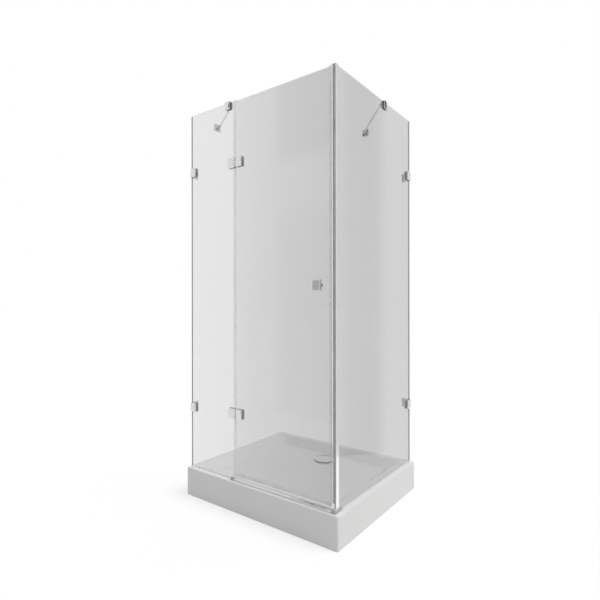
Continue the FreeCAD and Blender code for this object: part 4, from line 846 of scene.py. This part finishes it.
@dataclass
class Studio:
    """Pale floor, soft light and the camera at the photograph's viewpoint."""

    eye: tuple[float, float, float] = (1.534476, -1.973279, 1.074787)
    right: tuple[float, float, float] = (0.8168876, 0.5767955, -0.0012358)
    up: tuple[float, float, float] = (0.0008751, 0.0009031, 0.9999992)
    ahead: tuple[float, float, float] = (-0.5767962, 0.8168880, -0.0002330)
    focal_pixels: float = 442.931
    axis_pixel: float = 322.812
    picture: float = 600.0
    ambient: float = 0.51
    key: float = 1.15
    key_spread: float = 0.7
    key_from: tuple[float, float, float] = (0.56, 0.18, 0.81)
    floor_tone: float = 0.55

    def camera(self) -> None:
        """Place the camera."""
        data = bpy.data.cameras.new("view")
        data.sensor_fit = "HORIZONTAL"
        data.sensor_width = 36.0
        data.lens = self.focal_pixels * data.sensor_width / self.picture
        data.shift_x = -(self.axis_pixel - self.picture / 2) / self.picture
        data.clip_start = 0.05
        data.clip_end = 60.0
        camera = bpy.data.objects.new("view", data)
        bpy.context.scene.collection.objects.link(camera)
        turn = Matrix((self.right, self.up, [-a for a in self.ahead])).transposed()
        camera.matrix_world = Matrix.Translation(self.eye) @ turn.to_4x4()
        bpy.context.scene.camera = camera

    @staticmethod
    def seen(graph: Graph) -> Wire:
        """Return 1 where the camera sees a surface, straight, in gloss or through glass."""
        ray = graph.node("ShaderNodeLightPath")
        return ray["Is Camera Ray"].most(ray["Is Glossy Ray"]).most(ray["Is Transmission Ray"])

    def world(self) -> None:
        """Light softly from all round; the backdrop shows white."""
        world = bpy.data.worlds.new("studio")
        world.use_nodes = True
        bpy.context.scene.world = world
        graph = Graph(world.node_tree)
        strength = self.ambient + self.seen(graph) * (1.0 - self.ambient)
        light = graph.node("ShaderNodeBackground", {}, {"Color": (1.0, 1.0, 1.0),
                                                        "Strength": strength})
        graph.surface(light["Background"], "ShaderNodeOutputWorld")

    def key_light(self) -> None:
        """Add one broad soft light from the right, above."""
        data = bpy.data.lights.new("key", "SUN")
        data.energy = self.key
        data.angle = self.key_spread
        lamp = bpy.data.objects.new("key", data)
        bpy.context.scene.collection.objects.link(lamp)
        towards = Vector(self.key_from).normalized()
        lamp.matrix_world = towards.to_track_quat("Z", "Y").to_matrix().to_4x4()

    def floor(self) -> None:
        """Lay a pale floor that shows white and keeps the shadow."""
        mesh = bmesh.new()
        bmesh.ops.create_circle(mesh, cap_ends=True, segments=96, radius=60.0,
                                matrix=Matrix.Translation((0, 0, -0.0005)))
        data = bpy.data.meshes.new("floor")
        mesh.to_mesh(data)
        mesh.free()
        made = bpy.data.materials.new("pale floor")
        made.use_nodes = True
        graph = Graph(made.node_tree)
        grain = graph.noise(40.0, 3.0)
        matt = graph.node("ShaderNodeBsdfDiffuse", {}, {
            "Color": graph.blend(grain.ramp(0.3, 0.7), (self.floor_tone - 0.004,) * 3,
                                 (self.floor_tone + 0.004,) * 3)})["BSDF"]
        steep = Vector(self.key_from).normalized().z
        spread = (1.0 + cos(self.key_spread / 2)) / 2
        lit = self.floor_tone * (self.ambient + self.key * steep * spread / pi)
        lift = graph.node("ShaderNodeEmission", {}, {
            "Color": (1.0, 1.0, 1.0), "Strength": self.seen(graph) * (1.0 - lit)})["Emission"]
        graph.surface(graph.node("ShaderNodeAddShader", {}, {0: matt, 1: lift})["Shader"])
        data.materials.append(made)
        floor = bpy.data.objects.new("floor", data)
        bpy.context.scene.collection.objects.link(floor)

    @staticmethod
    def flag(card: Flag) -> None:
        """Stand a card outside the view, for polished metal to reflect.

        Args:
            card: The card's place, size, tones and soft edge.
        """
        mesh = bmesh.new()
        away = Vector(card.facing).normalized()
        turn = away.to_track_quat("Z", "Y").to_matrix()
        bmesh.ops.create_grid(mesh, x_segments=1, y_segments=1, size=0.5, matrix=(
            Matrix.Translation(card.centre) @ turn.to_4x4()
            @ Matrix.Diagonal((*card.size, 1.0, 1.0))))
        data = bpy.data.meshes.new(card.name)
        mesh.to_mesh(data)
        mesh.free()
        data.materials.append(card.material(turn))
        stood = bpy.data.objects.new(card.name, data)
        bpy.context.scene.collection.objects.link(stood)
        for ray in ("camera", "diffuse", "transmission", "shadow", "volume_scatter"):
            setattr(stood, f"visible_{ray}", False)

    def build(self) -> None:
        """Set the studio up."""
        bpy.context.scene.view_settings.view_transform = "Standard"
        for card in FLAGS:
            self.flag(card)
        self.camera()
        self.world()
        self.key_light()
        self.floor()


def main() -> None:
    """Build the enclosure's sub-assemblies and the studio."""
    logging.basicConfig(level=logging.INFO, format="%(name)s %(message)s")
    for part in (Tray(), Glass(), Fittings(), Seals(), Studio()):
        part.build()
        log.info("built %s", type(part).__name__)


if __name__ == "__main__":
    main()
